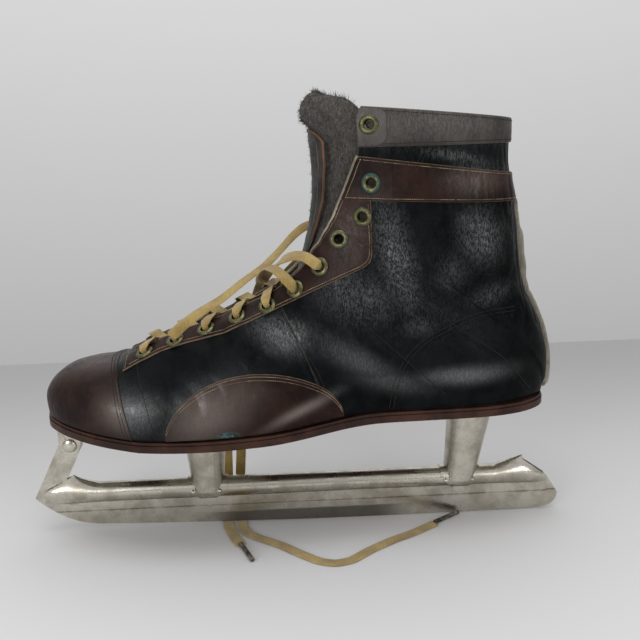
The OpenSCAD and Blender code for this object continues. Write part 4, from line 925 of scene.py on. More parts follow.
def panel(name, region, size, counts, top, low, paint, slot, nodes, lift=None, creased=True, worn=0.7):
    """A leather piece on the last. size is its rough length each way, which sets the rim's narrow steps.
    counts are its grid's steps, top and low its faces' depths, and worn is how raw its edge looks."""
    i, j = np.meshgrid(spaced(counts[0], 0.4 / size[0]), spaced(counts[1], 0.4 / size[1]), indexing="ij")
    t, q = region(i, j)
    base, normal = last_point(t, q), outward(t, q)
    height = relief(base) if creased else np.zeros(t.shape)
    if lift is not None:
        height = height + lift(base, i, j)
    outer = base + normal * (height + top - edge_drop(t.shape, top - low))[..., None]
    inner = base + normal * (height + low)[..., None]
    middle = (base[:-1, :-1] + base[1:, 1:]) / 2
    hidden = np.zeros(middle.shape[:2], bool)
    for point in eyelet_points:
        hidden |= np.linalg.norm(middle - point, axis=-1) < HOLE_R
    return sheet_piece(name, outer, inner, paint, slot, nodes, hidden=hidden, worn=worn)


def sides(name):
    """Names and signs of a piece that is there on both sides."""
    return (("near_" + name, NEAR), ("far_" + name, FAR))


panel("toe_cap", cap_map, (90, 110), (70, 110), 0.6, -LEATHER_T, SMOOTH_OXBLOOD, "oxblood_leather",
      ["toe_cap", "box_toe"], worn=0.1)
panel("vamp", vamp_map, (60, 330), (60, 280), 0, -LEATHER_T, BLACK, "black_leather", ["vamp"], worn=0.2)
for name, side in sides("quarter"):
    panel(name, on_side(side, quarter_map), (190, 120), (190, 110), 0, -LEATHER_T, BLACK, "black_leather",
          [name])
print("toe cap, vamp and quarters are on the last")

# %% [markdown]
# ## Facings, patches and bands
# These oxblood and faded pieces are sewn on top of the black upper. They could be cut out of it with a
# second material, but a real edge stands up and catches light. So each is a sheet of its own that lies on
# the skin and follows the same relief.

# %% Facings, patches and bands
OVERLAY_TOP, OVERLAY_LOW = 1.3, -0.1
for name, side in sides("facing"):
    panel(name, on_side(side, facing_map), (190, 20), (170, 24), OVERLAY_TOP, OVERLAY_LOW, OXBLOOD,
          "oxblood_leather", [name])
for name, side in sides("side_patch"):
    panel(name, on_side(side, patch_map), (110, 30), (80, 28), OVERLAY_TOP, OVERLAY_LOW, SMOOTH_OXBLOOD,
          "oxblood_leather", [name])
for name, side in sides("ankle_band"):
    panel(name, on_side(side, ankle_map), (20, 100), (22, 100), OVERLAY_TOP, OVERLAY_LOW, OXBLOOD,
          "oxblood_leather", [name])
for name, side in sides("top_band"):
    panel(name, on_side(side, top_map), (20, 100), (18, 100), OVERLAY_TOP, OVERLAY_LOW, FADED,
          "oxblood_leather", [name])
for name, side in sides("collar_tab"):
    panel(name, on_side(side, collar_tab_map), (16, 14), (20, 18), OVERLAY_TOP + 0.45, OVERLAY_TOP - 0.2,
          PALE, "oxblood_leather", [], worn=0.9)
print("facings, patches, bands and collar tabs are on the skin")

# %% [markdown]
# ## Back stay and linings
# A strip of webbing covers the back seam, over a pull loop that lies flat under it. Canvas lines the boot.
# Both use the panel again: the stay with a bulge for the loop, the linings with a sink that keeps them
# clear of the folds in the leather. A Solidify on the leather would have made the lining as thick as it.

# %% Back stay and linings
STAY_TOP = 2.3
LINING = (-1.1, -1.7)


def loop_bulge(base, i, j):
    """The pull loop at the back, folded flat under its strip."""
    z = base[..., 2]
    return 2.2 * smooth((z - 143) / 9) * (1 - smooth((z - 170) / 9)) * np.sin(np.pi * j) ** 0.5


panel("back_stay", stay_map, (110, 14), (90, 12), STAY_TOP, OVERLAY_LOW, WEBBING, "canvas", ["back_stay"],
      loop_bulge)


def lining_sink(base, i, j):
    """The lining keeps clear of the leather's folds, except at its rim."""
    return -1.3 * (np.sin(np.pi * i) * np.sin(np.pi * j)).clip(0) ** 0.3


for name, side in sides("lining"):
    nodes = [name, "vamp_lining", "heel_counter"] if side == NEAR else [name]
    panel(name, on_side(side, quarter_map), (190, 120), (90, 50), *LINING, CANVAS, "canvas", nodes,
          lining_sink)
panel("vamp_lining", vamp_map, (60, 330), (30, 120), *LINING, CANVAS, "canvas", [], lining_sink)
print("back stay and linings are in")

# %% [markdown]
# ## Turned shapes
# Stitches, eyelets and pin heads are small and round, and there are thousands of them. Spin would turn a
# profile round an axis. Here a ring is extruded and scaled along the profile, step by step, as on a lathe,
# because the rings stay in order and the ends are easy to close. Each shape is modelled once and copied.

# %% Turned shapes
def turned(profile, sides, capped):
    """One turned shape round the z axis. Profile rows hold a radius and a height. Returns its points and
    faces, and removes the model."""
    bpy.ops.object.select_all(action="DESELECT")
    bpy.ops.mesh.primitive_circle_add(vertices=sides, radius=profile[0][0])
    model = bpy.context.object
    bpy.ops.object.mode_set(mode="EDIT")
    bpy.ops.mesh.select_all(action="SELECT")
    bpy.ops.transform.translate(value=(0, 0, profile[0][1]))
    for (r0, z0), (r1, z1) in zip(profile[:-1], profile[1:]):
        bpy.ops.mesh.extrude_edges_move(TRANSFORM_OT_translate={"value": (0, 0, z1 - z0)})
        bpy.ops.transform.resize(value=(r1 / r0, r1 / r0, 1), center_override=(0, 0, z1))
    bpy.ops.mesh.select_all(action="SELECT")
    if capped:
        bpy.ops.mesh.fill_holes(sides=0)
    bpy.ops.mesh.normals_make_consistent(inside=False)
    bpy.ops.object.mode_set(mode="OBJECT")
    points = np.array([v.co for v in model.data.vertices])
    faces = [list(face.vertices) for face in model.data.polygons]
    bpy.data.objects.remove(model)
    return points, faces


def copies(model, places, axes):
    """Copies of one model in one mesh. axes are the three directions of each copy, with its scale in them."""
    points, faces = model
    moved = np.asarray(places)[:, None] + np.einsum("vk,nkc->nvc", points, np.asarray(axes))
    many = [[k + n * len(points) for k in face] for n in range(len(places)) for face in faces]
    return moved.reshape(-1, 3), many


# Radius and height of a stitch as shares, from one end to the other
STITCH = turned([(0.4, -0.5), (0.95, -0.3), (0.95, 0.3), (0.4, 0.5)], 6, True)
print("a stitch has", len(STITCH[1]), "faces")

# %% [markdown]
# ## Stitching
# Rows of lockstitch run beside every edge and seam, nearly black on the quarters and tan on the oxblood. They
# could be bump in the leather's finish, but real stitches stand up and cast small shadows. So the stitch is
# copied along rows, which follow the edges of the patterns or the seams as seen from the side.

# %% Sewing thread
def thread(name, dark, light):
    """Waxed thread, darker and paler by turns."""
    paint = Paint(name, dark, 0.75)
    paint.set("Base Color", paint.blend(paint.span(paint.noise(6, 4, 0.6), 0.35, 0.65), dark, light))
    paint.set("Normal", paint.bump(paint.noise(0.3, 2), 0.1, 0.5))
    return paint.material


TAN_THREAD = thread("tan_thread", (0.085, 0.058, 0.034), (0.29, 0.215, 0.13))
DARK_THREAD = thread("dark_thread", (0.0015, 0.0015, 0.0015), (0.009, 0.0078, 0.0066))
print("threads:", TAN_THREAD.name, "and", DARK_THREAD.name)

# %% Stitch rows
STITCH_PITCH, STITCH_LEN, STITCH_R = 1.15, 0.9, 0.19


def stitch_mesh(rows):
    """Points and faces of all stitches along rows of points and normals."""
    places, axes = [], []
    for line, normals in rows:
        even = resample(np.concatenate([line, normals], -1), STITCH_PITCH)
        ahead = unit(np.gradient(even[:, :3], axis=0))
        aside = unit(np.cross(unit(even[:, 3:]), ahead))
        third = np.cross(ahead, aside)
        places.append(even[:, :3])
        axes.append(np.stack([1.25 * STITCH_R * aside, STITCH_R * third, STITCH_LEN * ahead], 1))
    return copies(STITCH, np.concatenate(places), np.concatenate(axes))


def inset_row(region, side, offset, span=(0.0, 1.0), count=240):
    """A row at a distance inside one edge of a region. side is i0, i1, j0 or j1."""
    s = np.linspace(*span, count)
    across = np.linspace(0, 1, 9)[:, None] + 0 * s
    run = s + 0 * across
    lines = last_point(*(region(run, across) if side[0] == "j" else region(across, run)))
    reach = np.linalg.norm(np.diff(lines, axis=0), axis=-1).sum(0)
    share = offset / reach if side[1] == "0" else 1 - offset / reach
    return region(s, share) if side[0] == "j" else region(share, s)


def find_tq(line):
    """t and q of places on the near side that are seen from the side at x and z."""
    grid_t, grid_q = np.meshgrid(np.linspace(5, COLLAR_T, 90), np.linspace(0.05, 1, 60))
    seen = half_line(grid_t, grid_q)[..., [0, 2]].reshape(-1, 2)
    best = ((line[:, None] - seen[None]) ** 2).sum(-1).argmin(1)
    t, q = grid_t.ravel()[best], grid_q.ravel()[best]
    small = 1e-4
    for _ in range(10):
        p = half_line(t, q)[:, [0, 2]]
        by_t = (half_line(t + small, q)[:, [0, 2]] - p) / small
        by_q = (half_line(t, q + small)[:, [0, 2]] - p) / small
        gap = line - p
        whole = by_t[:, 0] * by_q[:, 1] - by_t[:, 1] * by_q[:, 0]
        step_t = (gap[:, 0] * by_q[:, 1] - gap[:, 1] * by_q[:, 0]) / whole
        step_q = (by_t[:, 0] * gap[:, 1] - by_t[:, 1] * gap[:, 0]) / whole
        t = t + np.clip(step_t, -0.4, 0.4)
        q = np.clip(q + np.clip(step_q, -0.05, 0.05), 0.02, 1)
    return t, q


def beside(line, offset):
    """A line moved sideways in the side view."""
    ahead = unit(np.gradient(line, axis=0))
    return line + offset * np.stack([-ahead[:, 1], ahead[:, 0]], -1)


print("the vamp seam starts at line", find_tq(SEAM_LINES["vamp"])[0][0].round(2))

# %% Rows on each piece
SEW_OVER = 0.05


def overlay_rows(side):
    """Rows on the pieces that lie on top of the upper."""
    facing, patch = on_side(side, facing_map), on_side(side, patch_map)
    ankle = on_side(side, ankle_map)
    low, high = ("j1", "j0") if side == NEAR else ("j0", "j1")
    trim = (0.02, 0.98)
    rows = [inset_row(facing, edge, inset, trim) for edge, inset in ((low, 1.5), (high, 2.0), ("i0", 1.5))]
    rows += [inset_row(patch, high, inset, (0.01, 0.99)) for inset in (1.5, 3.4)]
    rows += [inset_row(ankle, edge, 1.4, trim) for edge in ("i0", "i1")]
    rows.append(inset_row(ankle, high, 2.4, (0.06, 0.94)))
    return [on_skin(t, q, OVERLAY_TOP + SEW_OVER) for t, q in rows]


def collar_rows(side):
    """Rows along the edges of the top band."""
    top, front = on_side(side, top_map), "j0" if side == NEAR else "j1"
    rows = [inset_row(top, edge, 1.6, (0.02, 0.98)) for edge in ("i0", "i1")]
    rows.append(inset_row(top, front, 1.8, (0.1, 0.9)))
    return [on_skin(t, q, OVERLAY_TOP + SEW_OVER) for t, q in rows]


# The round end of an inner tab is sewn through the quarter above the ankle band, seen from the side
TAB, TAB_R = np.array([80.0, 209.5]), 10.5
TAB_ANGLES = np.radians(np.linspace(158, 16, 40))
TAB_ARC = np.stack([np.cos(TAB_ANGLES), np.sin(TAB_ANGLES)], -1)


# Rows beside each seam, by their distance from it
SEAM_ROWS = {"counter": (1.5, 3.8), "strap": (1.6,), "arch": (1.6,), "vamp": (1.5, 3.6)}


def skin_rows(side):
    """Rows along the seams of the quarter and round the tab."""
    lines = [beside(TAB + TAB_R * TAB_ARC, offset) for offset in (0.7, 2.6)]
    for name, offsets in SEAM_ROWS.items():
        lines += [beside(SEAM_LINES[name], offset) for offset in offsets]
    rows = []
    for line in lines:
        t, q = find_tq(line)
        rows.append(on_skin(t, side * q, 0.08))
    return rows


print("rows beside the seams:", sum(len(offsets) for offsets in SEAM_ROWS.values()))

# %% Sew
cap_rows = [inset_row(cap_map, "i1", offset, (0.02, 0.98)) for offset in (1.5, 3.2)]
cap_stitches = [on_skin(t, q, 0.65) for t, q in cap_rows]
vamp_q = np.linspace(-0.97, 0.97, 240)
cap_stitches.append(on_skin(cap_line(vamp_q) + 0.85, vamp_q, 0.08))
make("toe_cap_stitches", *stitch_mesh(cap_stitches), DARK_THREAD, "lace_cotton")
for name, side in sides("overlay_stitches"):
    make(name, *stitch_mesh(overlay_rows(side)), TAN_THREAD, "lace_cotton")
for name, side in sides("seam_stitches"):
    make(name, *stitch_mesh(skin_rows(side) + collar_rows(side)), DARK_THREAD, "lace_cotton")
stay_rows = [inset_row(stay_map, edge, 1.4, (0.02, 0.98)) for edge in ("j0", "j1")]
stay_stitches = [on_skin(t, q, STAY_TOP + SEW_OVER) for t, q in stay_rows]
make("back_stay_stitches", *stitch_mesh(stay_stitches), TAN_THREAD, "lace_cotton")

# %% [markdown]
# ## Eyelets
# The eyelets are rolled brass, gone dull and olive, with verdigris round the rim where leather grease met
# the metal. A torus would miss the bore and the rolled foot, so the eyelet is turned from its profile and
# copied onto each hole, a little out of round. The attribute "green" says how far each one has corroded.

# %% Old brass
def brass():
    """Old brass: dull olive metal, with dark verdigris in patches and where "green" is high."""
    paint = Paint("brass", (0.17, 0.135, 0.06), 0.4, 1.0)
    crust = paint.noise(2.4, 5, 0.65)
    spread = paint.math("ADD", crust, paint.math("MULTIPLY", paint.attribute("green"), 0.45))
    green = paint.span(spread, 0.66, 0.84)
    metal = paint.blend(paint.span(crust, 0.3, 0.62), (0.19, 0.178, 0.088), (0.078, 0.075, 0.040))
    rust = paint.blend(paint.attribute("green"), (0.028, 0.046, 0.024), (0.013, 0.060, 0.052))
    paint.set("Base Color", paint.blend(green, metal, rust))
    paint.set("Metallic", paint.math("SUBTRACT", 1.0, green, True))
    paint.set("Roughness", paint.math("ADD", 0.34, paint.math("MULTIPLY", green, 0.45)))
    paint.set("Normal", paint.bump(crust, 0.35, 0.6))
    return paint.material


BRASS = brass()
print("brass is ready")

# %% Eyelets
# Radius and height above the skin, from the bore's lower end over the rolled rim
EYELET_PROFILE = [
    (2.5, -2.6), (2.5, 1.5), (2.62, 2.0), (2.95, 2.34), (3.5, 2.5), (4.2, 2.42), (4.8, 2.14), (5.15, 1.8),
    (5.25, 1.55), (4.9, 1.3),
]
EYELET_MODEL = turned(EYELET_PROFILE, 36, False)
# How green each eyelet has grown, from the lowest to the top one
VERDIGRIS = [0.3, 0.15, 0.3, 0.2, 0.35, 0.15, 0.35, 0.5, 0.4, 1.0, 0.2]


def eyelet_row(side):
    """Copies of the eyelet on one side, each a little out of round, and their verdigris."""
    axis = outward(eyelet_ts, side * eyelet_qs)
    across = unit(np.cross(axis, [0, 0, 1.0]))
    dent = 1 + 0.025 * np.sin(2.0 * np.arange(len(axis)))[:, None]
    axes = np.stack([across * dent, np.cross(axis, across) / dent, axis], 1)
    points, faces = copies(EYELET_MODEL, last_point(eyelet_ts, side * eyelet_qs), axes)
    radius = np.linalg.norm(EYELET_MODEL[0][:, :2], axis=1)
    return points, faces, (np.array(VERDIGRIS)[:, None] * smooth((radius - 3.0) / 2.0)).ravel()


for name, side in sides("eyelets"):
    points, faces, green = eyelet_row(side)
    make(name, points, faces, BRASS, "brass", [name], marks={"green": green})
print("eyelets:", 2 * len(eyelet_ts))

# %% [markdown]
# ## Laces
# The laces are flat woven cotton, golden and grimy. A curve with a bevel would make one quickly, but it
# turns by itself at bends, and a flat lace would show that. So a lace is a row of flat rings along a route
# of points that is softened at its corners, with the width turned the way it lies. The attributes "along"
# and "across" carry the weave along the lace, whichever way it runs.

# %% Lace cotton
def lace_cotton():
    """Golden cotton lace: a woven chevron and ribs along it, grime and bleached patches."""
    paint = Paint("lace_cotton", (0.50, 0.33, 0.08), 0.8)
    patches = paint.noise(14, 4, 0.6)
    darkening = paint.noise(2.5, 5, 0.7)
    color = paint.blend(paint.span(patches, 0.32, 0.68), (0.34, 0.215, 0.036), (0.56, 0.395, 0.105))
    color = paint.blend(paint.math("MULTIPLY", paint.span(darkening, 0.5, 0.75), 0.5), color, (0.15, 0.10, 0.045))
    along, across = paint.attribute("along"), paint.attribute("across")
    slant = paint.math("ADD", along, paint.math("MULTIPLY", paint.math("ABSOLUTE", across), 0.9))
    chevron = paint.math("SINE", paint.math("MULTIPLY", slant, 2 * math.pi / 1.05))
    ribs = paint.math("SINE", paint.math("MULTIPLY", across, 2 * math.pi / 0.8))
    weave = paint.math("ADD", chevron, paint.math("MULTIPLY", ribs, 0.6))
    paint.set("Base Color", paint.blend(paint.span(weave, 0.3, -1.2, 0.0, 0.75), color, (0.15, 0.085, 0.018)))
    paint.set("Sheen Weight", 0.4)
    fuzz = paint.bump(paint.noise(0.4, 3, 0.7), 0.15, 0.6)
    paint.set("Normal", paint.bump(weave, 0.16, 0.9, fuzz))
    return paint.material


LACE = lace_cotton()
print("lace cotton is ready")

# %% Lace ribbon
LACE_W, LACE_T = 6.4, 0.8
LACE_SIDES = 16
LACE_STEP = 0.5


def ring_faces(rings, sides):
    """Faces of a tube of rings with closed ends."""
    ids = np.arange(rings * sides).reshape(-1, sides)
    onward = np.roll(ids, -1, axis=1)
    faces = np.stack([ids[:-1], onward[:-1], onward[1:], ids[1:]], -1).reshape(-1, 4).tolist()
    return faces + [ids[0, ::-1].tolist(), ids[-1].tolist()]


def ribbon(rows, reach, flat_is_up):
    """Rings of a lace. Rows hold a point, a direction, a width and a thickness. The direction is the flat's
    normal, or else the way its width lies. Returns points, faces, marks along and across, the centre line."""
    even = soften(resample(np.asarray(rows, float), LACE_STEP), reach / LACE_STEP)
    even = resample(even, LACE_STEP)
    centre, hint = even[:, :3], even[:, 3:6]
    ahead = unit(np.gradient(centre, axis=0))
    if flat_is_up:
        wide = unit(np.cross(hint, ahead))
    else:
        wide = unit(hint - (hint * ahead).sum(-1, keepdims=True) * ahead)
    thick = np.cross(ahead, wide)
    run = np.arange(len(centre)) * LACE_STEP
    angles = np.arange(LACE_SIDES) * 2 * math.pi / LACE_SIDES
    c, s = np.cos(angles), np.sin(angles)
    flat_c, flat_s = np.sign(c) * np.abs(c) ** 0.6, np.sign(s) * np.abs(s) ** 0.75
    fray = 1 + 0.025 * np.array([noise.noise((r / 5, 0.3, len(run))) for r in run.tolist()])
    half_w, half_t = even[:, 6] / 2 * fray, even[:, 7] / 2
    points = (centre[:, None] + wide[:, None] * (half_w[:, None] * flat_c)[..., None]
              + thick[:, None] * (half_t[:, None] * flat_s)[..., None])
    faces = ring_faces(len(centre), LACE_SIDES)
    across = (half_w[:, None] * flat_c).ravel()
    return points.reshape(-1, 3), faces, np.stack([np.repeat(run, LACE_SIDES), across]), centre


def lace(name, bands, nodes, reach, flat_is_up):
    """One lace object from one or more routes. Returns it and its first centre line."""
    points, faces, marks, lines = [], [], [], []
    for rows in bands:
        p, f, mark, line = ribbon(rows, reach, flat_is_up)
        start = sum(len(q) for q in points)
        points.append(p)
        faces += [[k + start for k in face] for face in f]
        marks.append(mark)
        lines.append(line)
    along, across = np.concatenate(marks, axis=1)
    obj = make(name, np.concatenate(points), faces, LACE, "lace_cotton", nodes,
               marks={"along": along, "across": across})
    return obj, lines[0]


print("a lace is", LACE_W, "by", LACE_T, "mm")

# %% [markdown]
# ## Crossed rows
# The lace crosses the throat from eyelet to eyelet, under the facing and up through the bore. It could be
# bent by a cloth simulation, but pulled tight it is nearly straight between its holes. So each crossing is
# a few stops on the last, with a depth and a width, and follows the route of the solids.

# %% Crossed rows
# Depths of the lace under the facing, over it and at the crest, and its bunched size in a bore
LACE_UNDER = -4.05
LACE_OVER = 3.7
CROSS_HIGH, CROSS_LOW = -1.2, -2.5
HOLE_W, HOLE_T = 3.4, 2.0
# The eyelet, counted from 0, where the crossed rows end
LACED = 5


def hole_stop(k, side, depth=-1.0):
    """The stop of a lace inside an eyelet."""
    return [eyelet_ts[k], side * eyelet_qs[k], depth, HOLE_W, HOLE_T]


def crossing(k, side):
    """Stops of a lace from one eyelet over the throat to the next one of the other side."""
    t0, t1 = eyelet_ts[k], eyelet_ts[k + 1]
    e0, e1 = float(throat_q(t0)), float(throat_q(t1))
    q0, q1 = eyelet_qs[k], eyelet_qs[k + 1]
    wide = [LACE_W, LACE_T]
    return [
        [t0, side * q0, LACE_OVER - 0.4, HOLE_W, HOLE_T],
        [mix(t0, t1, 0.06), side * mix(q0, e0, 0.35), LACE_OVER + 0.5, *wide],
        [mix(t0, t1, 0.2), side * e0, LACE_OVER - 0.6, *wide],
        [mix(t0, t1, 0.28), side * e0 * 0.72, 0.6, *wide],
        [mix(t0, t1, 0.48), 0, CROSS_HIGH if side == NEAR else CROSS_LOW, *wide],
        [mix(t0, t1, 0.68), -side * e1 * 0.75, LACE_UNDER / 3, *wide],
        [mix(t0, t1, 0.8), -side * e1 * 1.05, LACE_UNDER, *wide],
        [mix(t0, t1, 0.95), -side * mix(e1, q1, 0.75), LACE_UNDER, *wide],
        [t1, -side * q1, LACE_UNDER + 0.7, HOLE_W, HOLE_T],
        hole_stop(k + 1, -side),
    ]


def climb(first, last, side):
    """Stops of a lace that crosses at each eyelet from the first to the last."""
    stops = [hole_stop(first, side)]
    for k in range(first, last):
        stops += crossing(k, side if (k - first) % 2 == 0 else -side)
    return stops


def stop_rows(stops):
    """Stops on the last as points, the way the lace's width lies, width and thickness."""
    t, q, depth, width, thick = np.array(stops).T
    return np.concatenate([
        last_point(t, q) + outward(t, q) * depth[:, None], unit(along_t(t, q)),
        width[:, None], thick[:, None],
    ], -1)


edge_q0, hole_q0 = float(throat_q(eyelet_ts[0])), eyelet_qs[0]
lowest_bar = [[eyelet_ts[0], q, depth, width, thick] for q, depth, width, thick in (
    (-hole_q0, LACE_UNDER + 0.7, HOLE_W, HOLE_T), (-edge_q0, LACE_UNDER, LACE_W, LACE_T),
    (edge_q0, LACE_UNDER, LACE_W, LACE_T), (hole_q0, LACE_UNDER + 0.7, HOLE_W, HOLE_T))]
lower_lace = climb(0, 1, FAR)[::-1] + lowest_bar + climb(0, LACED, NEAR)
upper_lace = climb(2, LACED, FAR)
lace("lacing", [stop_rows(lower_lace), stop_rows(upper_lace)], ["lacing"], 0.9, False)
print("crossings:", 2 * LACED - 1)

# %% [markdown]
# ## Free lace ends
# Two ends hang loose. They come out of the seventh eyelets, run down the far side of the boot and lie on the
# floor under the blade. A cord simulation would not stop where the real ones lie, so both follow listed
# points. The metal tags at their tips are kept solids.

# %% Free lace ends
LONG_ROUTE = [
    [14.5, -25.5, 160.7], [8, -21, 165.2], [1.5, -15.5, 165], [-4.5, -9.5, 162], [-9, -3, 157.8],
    [-12, 4, 154], [-14.5, 11.5, 150], [-17.5, 19.5, 144.8], [-20, 28, 138.5], [-22.5, 35, 130],
    [-25, 39.5, 119], [-28, 43.5, 106], [-31, 47.5, 91], [-34, 50.5, 76], [-36, 52, 60], [-37, 52, 42],
    [-38, 50.5, 24], [-39, 46, 9], [-39, 38, 1.8], [-38, 26, 0.5], [-36.5, 10, 0.45], [-36, 0, 0.45],
    [-35, -10, 0.45],
    [-31, -18, 0.5], [-23, -25, 0.5], [-12, -33, 0.5], [-1, -44, 0.5], [9, -53, 0.5], [18, -56.5, 0.5],
    [27, -54, 0.5], [38, -44, 0.5], [52, -34, 0.5], [66, -26, 0.5], [80, -16, 0.5],
]
SHORT_ROUTE = [
    [14.5, 25.5, 160.7], [10, 29.5, 158.5], [3, 33.5, 152.5], [-4, 37, 145], [-12, 40.5, 135],
    [-20, 44.5, 123], [-28, 47.5, 110], [-37, 50, 94], [-43, 52, 76], [-45.5, 53, 58], [-46.5, 52.5, 40],
    [-47, 50, 22], [-47, 45, 8], [-47, 37, 1.6], [-46.5, 25, 0.5], [-45.5, 10, 0.45], [-44.5, 0, 0.45],
    [-43, -10, 0.45], [-39, -21, 0.5], [-35, -31, 0.5],
]


def end_rows(route):
    """The flat of a free end faces away from the boot, and up on the floor."""
    rows = []
    for x, y, z in route:
        high = min(max(z / 20, 0), 1)
        normal = mix(np.array([0, 0, 1.0]), np.array([0, min(max(y / 12, -1), 1), 0.7]), high)
        rows.append([x, y, z, *normal, LACE_W, LACE_T])
    return rows


def lace_end(name, route):
    """A free end of lace. Returns its length in metres."""
    obj, line = lace(name, [end_rows(route)], [name], 2.2, True)
    path = resample(line, 3.0) * MM
    length = np.linalg.norm(np.diff(path, axis=0), axis=1).sum()
    return length


lengths = [
    lace_end("long_lace_end", LONG_ROUTE),
    lace_end("short_lace_end", SHORT_ROUTE),
]
print("free lace ends in metres:", [round(v, 3) for v in lengths])

# %% [markdown]
# ## Loose strand and tucked ends
# One stretch of lace was pulled out of the rows: it lies over them, from the second near eyelet up to the
# eighth far one, and a short one sticks out of the sixth. Where a loose stretch starts, a small tuck runs
# into the bore. One long lace through everything would be truer, but the stretches turn on their edge in
# different ways, so they are separate ribbons that meet in the bores.

# %% Loose strand and tucked ends
STRAND_ROUTE = [
    [-67.5, -19.5, 123], [-62, -15, 127.5], [-55, -9.5, 132], [-48, -5, 135.5], [-41.3, 0, 138.5],
    [-34.5, 5, 142.8], [-27.9, 10, 147.2], [-21.5, 15, 150.8], [-15.5, 20, 154], [-9, 25, 159.5],
    [-3.6, 26.5, 164.8], [2.4, 26.6, 171.1], [8.5, 26.8, 175.8], [16, 27, 177.8], [24.5, 27.4, 176.5],
]
SIXTH_ROUTE = [
    [3.1, -19.5, 145.5], [0.8, -23.3, 149], [-4, -20.5, 154.2], [-8.5, -15, 157.6], [-12.5, -8, 158],
    [-15.5, 0, 155], [-17.5, 8, 150.5], [-18, 15, 145],
]


def turning_rows(route, lean):
    """A loose stretch of lace that turns towards its edge halfway. lean is how far its flat faces up
    there."""
    shares = np.sin(np.linspace(0, math.pi, len(route)))
    rows = []
    for point, u in zip(route, shares):
        rows.append([*point, 0, mix(-0.9, lean - 1, u), mix(0.4, 1.0, u), LACE_W, LACE_T])
    return rows


strands = [turning_rows(STRAND_ROUTE, 0.75), turning_rows(SIXTH_ROUTE, 0.3)]
lace("loose_strand", strands, ["loose_strand"], 2.0, True)


def tuck_rows(route, k, side, normal):
    """A short stretch of lace out of an eyelet, up to where a loose stretch starts."""
    t, q = eyelet_ts[k:k + 1], side * eyelet_qs[k:k + 1]
    hole, axis = last_point(t, q)[0], outward(t, q)[0]
    first = np.array(route[0], float)
    ahead = unit(np.array(route[1], float) - first)
    wide = unit(np.cross(normal, ahead))
    stops = [
        (hole - 3.0 * axis, HOLE_W, HOLE_T), (hole + 0.6 * axis, HOLE_W, HOLE_T),
        (mix(hole + 2.8 * axis, first, 0.35), 5.0, 1.2), (first, LACE_W, LACE_T),
        (first + 3.0 * ahead, LACE_W - 0.15, LACE_T - 0.1),
    ]
    return [[*place, *wide, width, thick] for place, width, thick in stops]


tucks = [
    tuck_rows(LONG_ROUTE, 6, NEAR, (0, -1, 0.7)), tuck_rows(SHORT_ROUTE, 6, FAR, (0, 1, 0.7)),
    tuck_rows(STRAND_ROUTE, 1, NEAR, (0, -0.9, 0.4)), tuck_rows(STRAND_ROUTE[::-1], 7, FAR, (0, -0.9, 0.4)),
]
lace("lace_tucks", tucks, [], 0.8, False)
print("loose strands:", len(strands), "and tucked ends:", len(tucks))

# %% [markdown]
# ## Tongue
# The tongue is thin leather with thick grey felt behind it. Its base lies under the laces. Its flap stands
# up out of the throat and folds forward, so it rides on a body of its own. It could be one bent plane with
# Solidify. Base and flap are separate sheets, because they part at the fold, and the flap's grid is bent
# round a tall arc by formula, with waves in the leather and clumps in the felt.

# %% Tongue leather and felt
TONGUE = leather("tongue_leather", (0.013, 0.0128, 0.0135), (0.040, 0.038, 0.038), (0.10, 0.085, 0.07), 0.45,
                 (0.09, 0.085, 0.08), 0.4).material
PIPING = leather("piping_leather", (0.085, 0.036, 0.016), (0.17, 0.080, 0.036), (0.2, 0.12, 0.07), 0.5,
                 (0.24, 0.16, 0.10), 0.2, 0.6).material


def felt():
    """Matted wool: soft clumps, stray fibres, grime, and painted shade in the thin gaps between its locks."""
    paint = Paint("felt", (0.16, 0.145, 0.125), 0.95)
    clumps = paint.noise(5, 6, 0.7)
    hairs = paint.noise(0.8, 5, 0.8, (1, 1, 3.5), 1.2)
    locks = paint.noise(2.1, 2, 0.5, (1, 1, 1.9), 1.6)
    curls = paint.math("ABSOLUTE", paint.math("SUBTRACT", locks, 0.5))
    color = paint.blend(paint.span(clumps, 0.3, 0.7), (0.020, 0.0155, 0.012), (0.110, 0.090, 0.073))
    color = paint.blend(paint.span(hairs, 0.46, 0.66), color, (0.20, 0.175, 0.150))
    # Painted shade: the thin gaps between the locks are painted nearly black
    gaps = paint.span(curls, 0.07, 0.0, 0.0, 0.75)
    paint.set("Base Color", paint.blend(gaps, color, (0.012, 0.0095, 0.0075)))
    paint.set("Sheen Weight", 0.15)
    paint.set("Sheen Roughness", 0.6)
    paint.set("Normal", paint.bump(hairs, 1.5, 1.0, paint.bump(clumps, 2.8, 0.8)))
    return paint.material


FELT = felt()
print("tongue finishes:", TONGUE.name, PIPING.name, FELT.name)

# %% Tongue base
# The base's first and last line, its half width, and the depths of its faces
BASE_T = (5.7, 11.35)
BASE_HALF = 0.42
TONGUE_OUT, TONGUE_T = -5.35, 1.1
BASE_FELT = (-6.6, -9.6)


def base_map(i, j):
    """The pattern of the tongue's base, under the laces."""
    return mix(BASE_T[0], BASE_T[1], i), BASE_HALF * (2 * j - 1)


panel("tongue_base", base_map, (80, 40), (60, 36), TONGUE_OUT, TONGUE_OUT - TONGUE_T, TONGUE,
      "black_leather", ["tongue_base"], creased=False)
panel("tongue_base_felt", base_map, (80, 40), (40, 24), *BASE_FELT, FELT, "felt", ["tongue_base_felt"],
      creased=False)
print("tongue base runs over lines", BASE_T)

